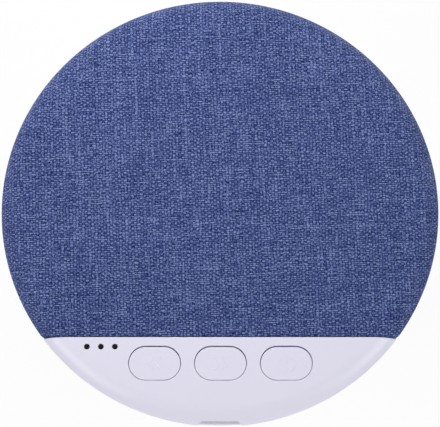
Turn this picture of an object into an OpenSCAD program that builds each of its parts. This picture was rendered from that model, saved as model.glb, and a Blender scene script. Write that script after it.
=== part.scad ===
// Round white noise sound machine: a low disc with a cloth-covered loudspeaker grille, a white
// control segment with three push buttons, and a micro-USB charging socket in the front wall.
// Millimetres. The origin is on the table under the middle of the disc, +Z up, controls at -Y.

/* [Body] */
// Diameter of the disc at its rim
body_d = 100; // [90:1:130]
// Height from the table to the top face
body_h = 34; // [30.5:0.5:60]
// Thickness of the case walls
wall = 2; // [1.6:0.1:2.4]
// Radius of the rounded shoulder under the face
shoulder_r = 5; // [4:0.5:6]
// Angle through which the shoulder turns before the rim takes over
shoulder_sweep = 60; // [50:1:70]
// Radius of the rim
rim_r = 1; // [0.8:0.1:1.4]
// Slope of the side wall, inwards to the base, in degrees
wall_taper = 15; // [10:1:16]
// Radius of the edge between side wall and underside
base_edge_r = 9; // [7:0.5:10]
// Depth of the seam between upper case and base shell, below the face
seam_drop = 7; // [6.6:0.1:9]
// Width of the seam
seam_gap = 0.2; // [0.1:0.05:0.4]
// Height of the lap joint inside the seam
lap_h = 1.4; // [1:0.1:1.6]
// Clearance between the two halves of the lap joint
lap_fit = 0.1; // [0.05:0.05:0.2]

/* [Grille] */
// Thickness of the cloth
cloth_t = 0.35; // [0.2:0.05:0.5]
// How far the cloth lies below the white panel
cloth_drop = 0.12; // [0:0.02:0.3]
// Clearance between the cloth and the plate under it
cloth_fit = 0.05; // [0.02:0.01:0.1]
// Gap between the cloth's front edge and the white panel
cloth_gap = 0.15; // [0.1:0.05:0.4]
// Thickness of the grille plate
plate_t = 1.5; // [1.2:0.1:2]
// Air between the grille plate and the speaker deck
plate_air = 0.5; // [0.3:0.1:1]
// Depth of the ledge on which the plate's rim stands, below the face
ledge_drop = 4; // [3.8:0.1:4.3]
// Diameter of the holes in the plate
hole_d = 4.4; // [3:0.2:5]
// Distance between the holes
hole_pitch = 6.4; // [6:0.2:9]
// Radius of the pins that hold the plate
pin_r = 1.2; // [1:0.1:1.5]
// Radius of the heads melted onto the pins
pin_head_r = 1.9; // [1.7:0.1:2.2]
// Distance of the pins from the edge of the speaker deck
pin_inset = 6.4; // [5:0.1:7]

/* [Control panel] */
// Depth of the panel, from its straight edge to the rim
panel_depth = 19.9; // [19.5:0.1:20.5]
// Thickness of the wall under the panel's straight edge
panel_wall = 1; // [0.8:0.1:1.1]
// Length of a button's face
button_l = 11.45; // [10:0.05:12.4]
// Width of a button's face
button_w = 7.4; // [6.4:0.1:7.6]
// Gap round a button
button_gap = 0.25; // [0.15:0.05:0.4]
// Distance between two buttons
button_pitch = 14.8; // [14.6:0.1:15.2]
// Distance of the buttons' middle from the rim
button_inset = 13.9; // [13.4:0.1:14.2]
// How far a button can be pressed
button_travel = 0.35; // [0.2:0.05:0.4]
// How far the button's flange reaches under the panel
flange_w = 0.8; // [0.5:0.1:0.9]
// Thickness of the button's flange
flange_t = 0.6; // [0.5:0.1:0.8]
// Clearance above the button's flange
flange_fit = 0.05; // [0.02:0.01:0.1]
// Diameter of an indicator dot
dot_d = 1.2; // [1:0.1:1.6]
// Distance between the indicator dots
dot_pitch = 3.15; // [2.8:0.05:3.4]
// Distance of the middle dot from the disc's middle, to the left
dot_x = 26.8; // [26:0.1:27.4]
// Distance of the dots from the rim
dot_inset = 17.7; // [17.4:0.05:17.8]
// Width of the bar that joins the three light pipes
pipe_bar_w = 1.8; // [1.6:0.1:1.9]
// Thickness of that bar
pipe_bar_t = 0.8; // [0.6:0.1:1]

/* [Charging socket] */
// Depth of the socket's middle below the face
port_drop = 3.5; // [3.4:0.1:3.8]
// Width of the recess round the socket
port_w = 9.4; // [8.8:0.1:11]
// Height of the recess round the socket
port_h = 3.7; // [3.4:0.1:3.8]
// Corner radius of the recess
port_corner_r = 1.2; // [0.8:0.1:1.6]
// Depth of the recess behind the rim
port_inset = 1.7; // [1.4:0.1:2]
// Width of the socket's steel shell
usb_w = 7.5; // [7:0.1:8]
// Height of the shell
usb_h = 2.45; // [2.3:0.05:2.6]
// Depth of the shell
usb_l = 5; // [4.6:0.1:5.6]
// Thickness of the shell's sheet
usb_t = 0.3; // [0.2:0.05:0.35]
// Thickness of the tongue that carries the contacts
tongue_t = 0.6; // [0.5:0.05:0.7]
// Clearance round the shell in the case
usb_fit = 0.1; // [0.05:0.05:0.2]

/* [Circuit board] */
// Thickness of the board
pcb_t = 1.2; // [1:0.1:1.6]
// Clearance between the rim of the board and the rim of the disc
pcb_inset = 3.5; // [3.3:0.1:4]
// Distance between the board's straight edge and the panel's
pcb_edge_fit = 0.4; // [0.2:0.1:0.9]
// Radius of the electrolytic capacitors
can_r = 2; // [1.6:0.1:2.2]
// Height of the electrolytic capacitors
can_h = 5.4; // [4.5:0.1:6]
// Length of a connector's housing
connector_l = 6; // [5.5:0.1:6.5]
// Width of a connector's housing
connector_w = 4.4; // [4:0.1:4.8]
// Height of a connector's housing
connector_h = 3.2; // [3:0.1:3.6]
// Thickness of a connector's walls
connector_wall = 0.6; // [0.5:0.05:0.8]
// Clearance round a plug in its connector
plug_fit = 0.1; // [0.05:0.05:0.2]
// Length of a plug
plug_len = 5.6; // [5:0.1:6.2]
// Radius of a lead with its sleeve
lead_r = 0.55; // [0.4:0.05:0.6]
// Distance between the two leads of a pair
lead_pitch = 2; // [1.6:0.1:2.2]
// Width and length of a tact switch
switch_w = 4.5; // [4:0.1:5]
// Height of a tact switch's housing
switch_h = 1.5; // [1.3:0.1:1.5]
// Radius of a tact switch's plunger
plunger_r = 1.1; // [0.9:0.05:1.3]
// Clearance round the plunger
plunger_fit = 0.06; // [0.03:0.01:0.1]
// How far the plunger stands out of its housing
plunger_out = 0.4; // [0.36:0.02:0.5]
// Height of an indicator LED
led_h = 0.6; // [0.5:0.05:0.8]

/* [Battery] */
// Length of the cell
cell_l = 50; // [40:1:52]
// Width of the cell
cell_w = 34; // [28:1:36]
// Thickness of the cell
cell_t = 5.5; // [4.5:0.1:6.5]
// Thickness of the foam pad under the cell
pad_t = 0.8; // [0.5:0.1:1]
// Air between the cell and the loudspeaker above it
cell_air = 1.5; // [1:0.1:2]

/* [Loudspeaker] */
// Distance of the speaker's flange from the rim, at its sides
speaker_inset = 21.5; // [21:0.5:24]
// Distance of the speaker's middle behind the disc's middle
speaker_y = 6; // [5:0.5:7]
// Width of the flange
speaker_rim_w = 3.6; // [3.2:0.1:4]
// Thickness of the basket's sheet
basket_t = 0.8; // [0.6:0.1:1]
// Height of the straight part of the basket
basket_cup_h = 1.8; // [1.6:0.1:2.2]
// Radius of the straight part of the basket
basket_cup_r = 14.5; // [14:0.1:16]
// Thickness of the gasket on the flange
gasket_t = 0.6; // [0.4:0.1:0.9]
// Thickness of the magnet
magnet_t = 4.6; // [3.5:0.1:4.8]
// Radius of the magnet
magnet_r = 18; // [16:0.5:20]
// Thickness of the top plate and of the yoke's plate
pole_plate_t = 2; // [1.6:0.1:2.2]
// Radius of the yoke's pole
pole_r = 6.2; // [5.5:0.1:7]
// Clearance between pole and voice coil
coil_fit = 0.15; // [0.1:0.05:0.3]
// Thickness of the voice coil on its former
coil_t = 0.5; // [0.4:0.05:0.7]
// Clearance between voice coil and top plate
magnet_gap = 0.25; // [0.2:0.05:0.4]
// Thickness of the cone
cone_t = 0.5; // [0.4:0.05:0.7]
// Radius of the surround's half roll
roll_r = 2.2; // [1.8:0.1:2.3]
// Thickness of the surround
roll_t = 0.4; // [0.3:0.05:0.6]
// Largest way of the cone, each way from rest
cone_travel = 0.8; // [0.4:0.1:0.9]

/* [Feet and fasteners] */
// How far the feet stand out of the underside
foot_h = 1.5; // [1:0.1:2.5]
// Radius of a foot
foot_r = 5; // [4:0.5:5]
// Depth of the recess that holds a foot
foot_recess = 0.5; // [0.3:0.1:0.8]
// Distance of the feet from the edge of the flat underside
foot_margin = 0.7; // [0.5:0.1:2]
// Distance of the case screws from the rim
case_screw_inset = 12.9; // [12.5:0.1:13.5]
// Clearance between the front case screws' bosses and the circuit board
board_clear = 1.4; // [1:0.1:2]
// Radius of the case screws' shank
case_screw_r = 1.25; // [1:0.05:1.4]
// Length of the case screws' shank
case_screw_l = 14; // [12:0.5:16]
// Radius of the case screws' head
case_head_r = 2.3; // [2:0.1:2.4]
// Thickness of the case screws' head
case_head_t = 1.6; // [1.2:0.1:2]
// Height of the head's seat over the underside
case_seat_h = 5.5; // [4:0.5:7]
// Height of the base shell's screw posts over its floor
post_h = 12.5; // [10:0.5:14]
// Radius of the base shell's screw posts
post_r = 3.8; // [3.7:0.1:4]
// Radius of the upper case's screw bosses
boss_r = 2.6; // [2.4:0.1:3]
// Radius of the board and speaker screws' shank
small_screw_r = 0.8; // [0.7:0.05:0.9]
// Radius of their heads
small_head_r = 1.5; // [1.3:0.1:1.6]
// Thickness of their heads
small_head_t = 0.9; // [0.7:0.1:1.1]
// Length of their shank
small_screw_l = 3.4; // [3.2:0.1:3.5]
// Clearance round every screw's shank
screw_fit = 0.05; // [0.03:0.01:0.1]

/* [Hidden] */
$fn = 96;
eps = 0.01;
far = 200;

// Outline of the disc, from the middle of the face over shoulder and rim to the side wall
body_r = body_d / 2;
rim_c = body_r - rim_r;
rim_z = body_h - shoulder_r + (shoulder_r - rim_r) * cos(shoulder_sweep);
shoulder_c = rim_c - (shoulder_r - rim_r) * sin(shoulder_sweep);
side_top_z = rim_z - rim_r * sin(wall_taper);
side_top_r = rim_c + rim_r * cos(wall_taper);
function side_r(z) = side_top_r - (side_top_z - z) * tan(wall_taper);
function arc(cx, cz, r, from, to, steps) =
    [for (i = [0:steps]) let (a = from + (to - from) * i / steps) [cx + r * sin(a), cz + r * cos(a)]];
function skin(inset) = concat(
    [[0, body_h - inset]],
    arc(shoulder_c, body_h - shoulder_r, shoulder_r - inset, 0, shoulder_sweep, 12),
    arc(rim_c, rim_z, rim_r - inset, shoulder_sweep + 5, 90 + wall_taper, 8));

// Heights
under_panel_z = body_h - wall;
seam_z = body_h - seam_drop;
ledge_z = body_h - ledge_drop;
plate_top_z = body_h - cloth_drop - cloth_t - cloth_fit;
plate_under_z = plate_top_z - plate_t;
deck_top_z = plate_under_z - plate_air;
deck_under_z = deck_top_z - wall;
lap_top_z = seam_z + lap_h;
inner_corner_r = shoulder_r / 2;
floor_z = foot_h + wall;

// Lap joint: the base shell's tongue is the inner half of the wall, the upper case's skirt the outer
lap_w = (wall - lap_fit) / 2;
ring_z = lap_top_z + seam_gap;
ring_depth = 2.6;

// Grille
panel_edge = body_r - panel_depth;
deck_edge_r = body_r - cloth_t - cloth_fit - plate_t - 0.2;
cloth_front = panel_edge - cloth_gap;
plate_front = cloth_front - cloth_t - cloth_fit;
speaker_r = body_r - speaker_inset;
basket_mouth_r = speaker_r - speaker_rim_w;
speaker_open_r = basket_mouth_r + 0.3;
pin_circle_r = deck_edge_r - pin_inset;
pin_angles = [22, 90, 158, 212, 328];
pin_head_t = 0.8;

// Controls
button_y = body_r - button_inset;
dot_y = body_r - dot_inset;
button_xs = [-button_pitch, 0, button_pitch];
button_under_z = under_panel_z - flange_fit - flange_t;
pcb_top_z = body_h - port_drop - usb_h / 2;
pcb_under_z = pcb_top_z - pcb_t;
pcb_r = body_r - pcb_inset;
pcb_edge = panel_edge + pcb_edge_fit;
switch_top_z = pcb_top_z + switch_h;
plunger_top_z = switch_top_z + plunger_out;
plunger_l = 1.2;
port_z = body_h - port_drop;
usb_front = body_r - port_inset;
port_wall = 2.7;
port_block_w = usb_w + 2 * port_wall;
port_block_t = pcb_inset - port_inset - 0.3;
outer_screw_x = 23.5;
outer_screw_inset = 13;
inner_screw_x = 9.5;
inner_screw_inset = 7;
board_screws = [for (s = [-1, 1]) each [[s * outer_screw_x, outer_screw_inset - body_r],
                                        [s * inner_screw_x, inner_screw_inset - body_r]]];
board_boss_r = 1.8;

// Loudspeaker: its flange hangs under the deck, its magnet keeps clear of the cell, and the
// basket's conical part takes up the height between them
gasket_under_z = deck_under_z - gasket_t;
flange_under_z = gasket_under_z - basket_t;
yoke_under_z = floor_z + pad_t + cell_t + cell_air;
magnet_under_z = yoke_under_z + pole_plate_t;
top_plate_under_z = magnet_under_z + magnet_t;
cup_under_z = top_plate_under_z + pole_plate_t;
cup_top_z = cup_under_z + basket_cup_h;
basket_cone_h = flange_under_z - cup_top_z;
roll_c = basket_mouth_r - roll_r + 0.1;
cone_edge_r = roll_c - roll_r + roll_t;
cone_lip = 1;
coil_r = pole_r + coil_fit;
coil_out_r = coil_r + coil_t;
coil_rise = 2.6;
neck_drop = 0.35;
coil_top_z = cup_top_z + coil_rise;
coil_under_z = top_plate_under_z - 2 * cone_travel;
neck_z = coil_top_z - neck_drop;
speaker_screw_r = speaker_r - speaker_rim_w / 2;
speaker_screw_angles = [45, 135, 225, 315];
window_w = 10;
terminal_t = 1;
terminal_y = speaker_y - basket_mouth_r - 0.4 - terminal_t;

// Underside and case screws
base_arc_z = foot_h + base_edge_r;
base_tangent_z = base_arc_z - base_edge_r * sin(wall_taper);
base_flat_r = side_r(base_tangent_z) - base_edge_r * cos(wall_taper);
post_top_z = floor_z + post_h;
seat_z = foot_h + case_seat_h;
foot_circle_r = base_flat_r - foot_margin - foot_r;
case_screw_y = pcb_edge - board_clear - boss_r;
case_screw_x = sqrt(pow(body_r - case_screw_inset, 2) - pow(case_screw_y, 2));
case_screws_xy = [for (x = [-case_screw_x, case_screw_x], y = [-case_screw_y, case_screw_y]) [x, y]];
pilot_top_z = seat_z + case_screw_l + 0.6;
label_l = 32;
label_w = 18;
label_recess = 0.3;
label_corner_r = 2;

// Battery
cell_z = floor_z + pad_t;
cell_top_z = cell_z + cell_t;

// Connectors under the board: a housing open to the back, a plug in it and two leads
connector_y = -pcb_edge - 0.5 - connector_w / 2;
connector_x = 17.5;
plug_z = pcb_under_z - connector_h / 2;
plug_back_y = connector_y - connector_w / 2 + connector_wall + plug_fit + plug_len;
cell_lead_x = 6;
cell_lead_start = 6;
cell_lead_end = 9;
speaker_lead_drop = 2.5;
speaker_lead_start = 4;
speaker_lead_end = 6;

// Chips and small parts: sizes, and distances behind the rim
chip_h = 1.5;
big_chip = [7, 5.4];
big_chip_pins = 8;
big_chip_pitch = 0.8;
small_chip = [4.9, 3.9];
small_chip_pins = 4;
small_chip_pitch = 1.27;
sound_chip_at = [-8, 14.6];
amplifier_at = [9.5, 15.4];
charge_at = [1.4, 11.6];
can_inset = 3.4;
resistor = [1.6, 0.8, 0.45];
resistor_pitch = 2.4;

// A lead: a tube swept along one curve
function unit(v) = v / norm(v);
function bezier(p, t) = pow(1 - t, 3) * p[0] + 3 * pow(1 - t, 2) * t * p[1] +
    3 * (1 - t) * t * t * p[2] + t * t * t * p[3];
function bezier_way(p, t) = pow(1 - t, 2) * (p[1] - p[0]) +
    2 * (1 - t) * t * (p[2] - p[1]) + t * t * (p[3] - p[2]);
module lead(p, r, across, rings = 24, sides = 8) {
    // "across" is a direction that the lead never runs along
    path = [for (i = [0:rings]) bezier(p, i / rings)];
    dirs = [for (i = [0:rings]) unit(bezier_way(p, i / rings))];
    ring_points = [for (i = [0:rings])
        let (u = unit(cross(dirs[i], across)), v = cross(dirs[i], u))
        for (k = [0:sides - 1]) path[i] + r * (cos(360 * k / sides) * u + sin(360 * k / sides) * v)];
    sides_faces = [for (i = [0:rings - 1], k = [0:sides - 1]) let (next = (k + 1) % sides)
        [i * sides + k, i * sides + next, (i + 1) * sides + next, (i + 1) * sides + k]];
    first_cap = [[for (k = [sides - 1:-1:0]) k]];
    last_cap = [[for (k = [0:sides - 1]) rings * sides + k]];
    polyhedron(ring_points, concat(sides_faces, first_cap, last_cap), convexity = 4);
}

// Half space behind the line y = -distance, or in front of it
module behind(distance) {
    translate([-far, -distance, -far]) cube([2 * far, 2 * far, 2 * far]);
}
module in_front(distance) {
    translate([-far, -distance - 2 * far, -far]) cube([2 * far, 2 * far, 2 * far]);
}
module stadium(l, w, h) {
    linear_extrude(h) union() {
        square([l - w, w], center = true);
        for (s = [-1, 1]) translate([s * (l - w) / 2, 0]) circle(d = w);
    }
}
module rounded_box(l, w, h, r) {
    linear_extrude(h) union() {
        square([l - 2 * r, w], center = true);
        square([l, w - 2 * r], center = true);
        for (x = [-1, 1], y = [-1, 1]) translate([x * (l / 2 - r), y * (w / 2 - r)]) circle(r);
    }
}
module ring(outer, inner, z0, z1) {
    translate([0, 0, z0]) difference() {
        cylinder(r = outer, h = z1 - z0);
        translate([0, 0, -1]) cylinder(r = inner, h = z1 - z0 + 2);
    }
}
module screw(shank_r, shank_l, head_r, head_t) {
    // Head down, shank up, with the head's upper face at z = 0
    difference() {
        union() {
            translate([0, 0, -head_t]) cylinder(r = head_r, h = head_t);
            translate([0, 0, -eps]) cylinder(r = shank_r, h = shank_l + eps);
        }
        for (a = [0, 90]) rotate(a) translate([-head_r * 0.6, -0.25, -head_t - 1])
            cube([head_r * 1.2, 0.5, 1 + head_t * 0.55]);
    }
}

// Case
module base_shell() {
    color("#e4e2ec") difference() {
        union() {
            rotate_extrude() polygon(concat(
                [[0, foot_h]],
                arc(base_flat_r, base_arc_z, base_edge_r, 180, 90 + wall_taper, 11),
                [[side_r(seam_z), seam_z],
                 [side_r(seam_z) - wall + lap_w, seam_z],
                 [side_r(lap_top_z) - wall + lap_w, lap_top_z],
                 [side_r(lap_top_z) - wall, lap_top_z]],
                arc(base_flat_r, base_arc_z, base_edge_r - wall, 90 + wall_taper, 180, 11),
                [[0, floor_z]]));
            intersection() {
                for (p = case_screws_xy) translate([p.x, p.y, foot_h])
                    cylinder(r = post_r, h = post_top_z - foot_h);
                base_fill();
            }
            cell_fence();
        }
        for (p = case_screws_xy) translate([p.x, p.y, 0]) {
            cylinder(r = case_screw_r + screw_fit, h = post_top_z + 1);
            cylinder(r = case_head_r + 2 * screw_fit, h = seat_z);
        }
        for (a = [0:90:270]) rotate(a) translate([foot_circle_r, 0, 0])
            cylinder(r = foot_r, h = foot_h + foot_recess);
        translate([0, 0, foot_h + label_recess - 1]) rounded_box(label_l, label_w, 1, label_corner_r);
    }
}
module base_fill() {
    rotate_extrude() polygon(concat(
        [[0, foot_h]],
        arc(base_flat_r, base_arc_z, base_edge_r, 180, 90 + wall_taper, 11),
        [[side_r(seam_z), seam_z], [0, seam_z]]));
}
module cell_fence() {
    // Low corner ribs that keep the cell in its place
    fence_fit = 0.3;
    fence_t = 1.2;
    fence_l = 6;
    fence_h = pad_t + cell_t * 0.4;
    for (sx = [-1, 1], sy = [-1, 1]) translate([0, 0, floor_z - eps]) {
        translate([sx * (cell_l / 2 + fence_fit + fence_t / 2), sy * (cell_w - fence_l) / 2, fence_h / 2])
            cube([fence_t, fence_l, fence_h], center = true);
        translate([sx * (cell_l / 2 - fence_l), sy * (cell_w / 2 + fence_fit + fence_t / 2), fence_h / 2])
            cube([fence_l, fence_t, fence_h], center = true);
    }
}
module case_ring() {
    // The panel with its shoulder and side wall, and behind the panel's edge the side wall alone
    difference() {
        rotate_extrude() polygon(concat(
            skin(0),
            [[side_r(seam_z + seam_gap), seam_z + seam_gap],
             [side_r(seam_z + seam_gap) - lap_w, seam_z + seam_gap],
             [side_r(ring_z) - lap_w, ring_z],
             [side_r(ring_z) - wall, ring_z]],
            arc(body_r - wall - inner_corner_r, under_panel_z - inner_corner_r, inner_corner_r, 90, 0, 8),
            [[0, under_panel_z]]));
        translate([-far, -panel_edge, ledge_z]) cube([2 * far, 2 * far, far]);
    }
}
module case_deck() {
    intersection() {
        rotate_extrude() polygon([
            [0, deck_top_z], [deck_edge_r, deck_top_z], [deck_edge_r, ring_z],
            [deck_edge_r - ring_depth, ring_z], [deck_edge_r - ring_depth - 0.5, deck_under_z],
            [0, deck_under_z]]);
        behind(panel_edge + pcb_edge_fit / 2);
    }
}
module edge_wall() {
    // Wall under the panel's straight edge; it ends inside the shell
    intersection() {
        translate([-body_r, -panel_edge - panel_wall, deck_under_z])
            cube([body_d, panel_wall, body_h - wall / 2 - deck_under_z]);
        cylinder(r = body_r - wall * 0.9, h = body_h);
    }
}
module upper_case() {
    color("#e4e2ec") difference() {
        union() {
            case_ring();
            case_deck();
            edge_wall();
            for (p = board_screws) translate([p.x, p.y, pcb_top_z])
                cylinder(r = board_boss_r, h = under_panel_z - pcb_top_z + eps);
            for (p = case_screws_xy) translate([p.x, p.y, post_top_z])
                cylinder(r = boss_r, h = deck_under_z - post_top_z + eps);
            translate([-port_block_w / 2, -usb_front - 0.4, ring_z])
                cube([port_block_w, port_block_t + 0.4, under_panel_z - ring_z + eps]);
        }
        for (x = button_xs) translate([x, -button_y, under_panel_z - 1])
            stadium(button_l + 2 * button_gap, button_w + 2 * button_gap, wall + 2);
        for (k = [-1:1]) translate([-dot_x + k * dot_pitch, -dot_y, under_panel_z - 1])
            cylinder(d = dot_d + 2 * screw_fit, h = wall + 2);
        for (p = board_screws) translate([p.x, p.y, pcb_top_z - 1])
            cylinder(r = small_screw_r + screw_fit, h = small_screw_l + 1 - pcb_t + 0.3);
        for (p = case_screws_xy) translate([p.x, p.y, post_top_z - 1])
            cylinder(r = case_screw_r + screw_fit, h = pilot_top_z - post_top_z + 1);
        translate([0, speaker_y, deck_under_z - 1]) cylinder(r = speaker_open_r, h = wall + 2);
        speaker_screw_places(deck_under_z - 1)
            cylinder(r = small_screw_r + screw_fit, h = 1 + small_screw_l - basket_t - gasket_t + 0.2);
        for (a = pin_angles) rotate(a) translate([pin_circle_r, 0, deck_under_z - 1])
            cylinder(r = pin_r + screw_fit, h = wall + 2);
        // Recess round the charging socket, and the hole for its shell
        translate([0, -usb_front, port_z]) rotate([90, 0, 0]) rounded_box(port_w, port_h, 5, port_corner_r);
        translate([-usb_w / 2 - usb_fit, -usb_front - 1, port_z - usb_h / 2 - usb_fit])
            cube([usb_w + 2 * usb_fit, pcb_inset + 1, usb_h + 2 * usb_fit]);
    }
}
module speaker_screw_places(z) {
    for (a = speaker_screw_angles)
        translate([speaker_screw_r * cos(a), speaker_y + speaker_screw_r * sin(a), z]) children();
}

// Grille
module grille_plate() {
    inset = cloth_t + cloth_fit;
    edge_r = 0.6;
    color("#2e3446") difference() {
        union() {
            intersection() {
                translate([0, 0, -cloth_drop]) rotate_extrude() polygon(concat(
                    skin(inset),
                    [[side_r(ledge_z) - inset, ledge_z + cloth_drop],
                     [deck_edge_r + 0.2, ledge_z + cloth_drop],
                     [deck_edge_r + 0.2, plate_under_z + cloth_drop - 0.8 * plate_air],
                     [deck_edge_r - 0.2, plate_under_z + cloth_drop],
                     [0, plate_under_z + cloth_drop]]));
                behind(plate_front);
            }
            intersection() {
                translate([-body_r, -plate_front, deck_top_z])
                    cube([body_d, plate_t, plate_top_z - deck_top_z]);
                cylinder(r = deck_edge_r - 0.4, h = body_h);
            }
            for (a = pin_angles) rotate(a) translate([pin_circle_r, 0, 0]) {
                translate([0, 0, deck_under_z - eps])
                    cylinder(r = pin_r, h = plate_under_z - deck_under_z + 2 * eps);
                translate([0, 0, deck_under_z - pin_head_t]) cylinder(r = pin_head_r, h = pin_head_t);
            }
        }
        grille_holes();
        translate([0, -plate_front, plate_top_z]) edge_round(edge_r);
    }
}
module grille_holes() {
    reach = speaker_open_r - hole_d / 2;
    rows = floor(reach / (hole_pitch * sin(60)));
    for (j = [-rows:rows], i = [-rows - 1:rows + 1])
        let (x = (i + (abs(j) % 2) / 2) * hole_pitch, y = j * hole_pitch * sin(60))
            if (norm([x, y]) < reach)
                translate([x, speaker_y + y, plate_under_z - 1])
                    cylinder(d = hole_d, h = plate_t + 2, $fn = 24);
}
module edge_round(r) {
    // What is cut off a straight front edge to round it
    rotate([90, 0, 90]) translate([0, 0, -body_r]) linear_extrude(body_d) difference() {
        translate([-1, -r]) square([1 + r, 1 + r]);
        translate([r, -r]) circle(r);
        translate([r, -r - 1]) square([1, 2 + r]);
    }
}
module grille_cloth() {
    hem_z = ledge_z + 0.15;
    color("#4a5687") difference() {
        intersection() {
            translate([0, 0, -cloth_drop]) rotate_extrude()
                polygon(concat(skin(0), [[side_r(hem_z), hem_z + cloth_drop], [0, hem_z + cloth_drop]]));
            behind(cloth_front);
        }
        intersection() {
            translate([0, 0, -cloth_drop]) rotate_extrude()
                polygon(concat(skin(cloth_t), [[side_r(hem_z) - cloth_t, hem_z - 1], [0, hem_z - 1]]));
            behind(cloth_front - cloth_t);
        }
        translate([0, -cloth_front, body_h - cloth_drop]) edge_round(0.8);
        // The front fall of the cloth ends just above the deck, where its edge is glued down
        translate([-deck_edge_r - 0.1, -cloth_front - 1, 0])
            cube([2 * deck_edge_r + 0.2, cloth_t + 1 + eps, deck_top_z + 0.1]);
    }
}

// Controls
module button_body() {
    stem_r = 1;
    translate([0, -button_y, 0]) {
        translate([0, 0, button_under_z + flange_t - eps])
            stadium(button_l, button_w, body_h - button_under_z - flange_t + eps);
        translate([0, 0, button_under_z])
            stadium(button_l + 2 * flange_w, button_w + 2 * flange_w, flange_t);
        translate([0, 0, plunger_top_z]) cylinder(r = stem_r, h = button_under_z - plunger_top_z + eps);
    }
}
module plunger_body() {
    translate([0, -button_y, plunger_top_z - plunger_l]) cylinder(r = plunger_r, h = plunger_l);
}
module back_button() { color("#dddbe8") translate([button_xs[0], 0, 0]) button_body(); }
module forward_button() { color("#dddbe8") translate([button_xs[1], 0, 0]) button_body(); }
module power_button() { color("#dddbe8") translate([button_xs[2], 0, 0]) button_body(); }
module back_plunger() { color("#20222a") translate([button_xs[0], 0, 0]) plunger_body(); }
module forward_plunger() { color("#20222a") translate([button_xs[1], 0, 0]) plunger_body(); }
module power_plunger() { color("#20222a") translate([button_xs[2], 0, 0]) plunger_body(); }
module switch_housings() {
    chamber_z = plunger_top_z - plunger_l - button_travel - 0.05;
    color("#c9ccd2") for (x = button_xs) translate([x, -button_y, 0]) difference() {
        translate([-switch_w / 2, -switch_w / 2, pcb_top_z]) cube([switch_w, switch_w, switch_h]);
        translate([0, 0, chamber_z]) cylinder(r = plunger_r + plunger_fit, h = 5);
    }
}
module indicator_lens() {
    color("#15161c") translate([-dot_x, -dot_y, 0]) {
        translate([-dot_pitch - dot_d, -pipe_bar_w / 2, under_panel_z - pipe_bar_t])
            cube([2 * (dot_pitch + dot_d), pipe_bar_w, pipe_bar_t]);
        for (j = [-1:1]) translate([j * dot_pitch, 0, pcb_top_z + led_h + 0.3])
            cylinder(d = dot_d, h = body_h - pcb_top_z - led_h - 0.3);
    }
}
module indicator_leds() {
    color("#f4efd8") for (k = [-1:1])
        translate([-dot_x + k * dot_pitch - 0.8, -dot_y - 0.4, pcb_top_z]) cube([1.6, 0.8, led_h]);
}

// Circuit board
module main_pcb() {
    color("#1f6b45") translate([0, 0, pcb_under_z]) difference() {
        intersection() {
            cylinder(r = pcb_r, h = pcb_t);
            in_front(pcb_edge);
        }
        for (p = board_screws) translate([p.x, p.y, -1])
            cylinder(r = small_screw_r + 4 * screw_fit, h = pcb_t + 2);
    }
}
module usb_outline(inset) {
    half = usb_w / 2 - inset;
    top = usb_h / 2 - inset;
    cut = 0.9;
    polygon([[-half, top], [half, top], [half, cut - top],
             [half - cut, -top], [cut - half, -top], [-half, cut - top]]);
}
module usb_socket() {
    color("#b9bcc2") translate([0, -usb_front + usb_l, port_z]) rotate([90, 0, 0]) difference() {
        linear_extrude(usb_l) usb_outline(0);
        translate([0, 0, usb_t]) linear_extrude(usb_l) usb_outline(usb_t);
    }
}
module usb_tongue() {
    block_l = 1.2;
    blade_w = 3.9;
    blade_l = usb_l - usb_t - block_l - 0.9;
    back = -usb_front + usb_l - usb_t;
    color("#1b1b1f") {
        translate([0, back, port_z]) rotate([90, 0, 0]) linear_extrude(block_l) usb_outline(usb_t + 0.05);
        translate([-blade_w / 2, back - block_l - blade_l, port_z + usb_h / 2 - usb_t - 0.35 - tongue_t])
            cube([blade_w, blade_l + eps, tongue_t]);
    }
}
module chip(size, pins, pitch) {
    // Flat body with bent legs along its two long sides, hanging under the board
    leg_w = 0.4;
    leg_t = 0.2;
    leg_reach = 0.7;
    stand = 0.1;
    translate([-size.x / 2, -size.y / 2, -chip_h - stand]) cube([size.x, size.y, chip_h]);
    for (side = [0, 1], i = [0:pins - 1]) mirror([0, side, 0])
        translate([(i - (pins - 1) / 2) * pitch - leg_w / 2, size.y / 2, -chip_h / 2 - stand]) {
            translate([0, -eps, 0]) cube([leg_w, leg_reach + eps, leg_t]);
            translate([0, leg_reach - leg_t, 0]) cube([leg_w, leg_t, chip_h / 2 + stand]);
        }
}
module on_board(at) {
    // A place under the board, given by its x and its distance from the rim
    translate([at.x, at.y - body_r, pcb_under_z]) children();
}
module sound_chip() {
    color("#202226") on_board(sound_chip_at) chip(big_chip, big_chip_pins, big_chip_pitch);
}
module amplifier_chip() {
    color("#202226") on_board(amplifier_at) chip(small_chip, small_chip_pins, small_chip_pitch);
}
module charge_chip() {
    color("#202226") on_board(charge_at) chip(small_chip, small_chip_pins, small_chip_pitch);
}
module capacitors() {
    foot_t = 0.8;
    y = connector_y;
    x = sqrt(pow(pcb_r - can_inset, 2) - y * y);
    color("#9aa0a8") for (s = [-1, 1]) translate([s * x, y, pcb_under_z - can_h]) {
        cylinder(r = can_r, h = can_h - foot_t);
        translate([-can_r, -can_r, can_h - foot_t - eps]) cube([2 * can_r, 2 * can_r, foot_t + eps]);
    }
}
module passives() {
    row_x = -6.5;
    row_inset = 8.2;
    block_x = 13.2;
    block_inset = 10.2;
    color("#b59a72") for (i = [0:5]) {
        on_board([row_x + i * resistor_pitch, row_inset]) translate([0, 0, -resistor.z / 2])
            cube([resistor.y, resistor.x, resistor.z], center = true);
        on_board([block_x + (i % 3) * resistor_pitch, block_inset + floor(i / 3) * resistor_pitch])
            translate([0, 0, -resistor.z / 2]) cube(resistor, center = true);
    }
}
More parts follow.
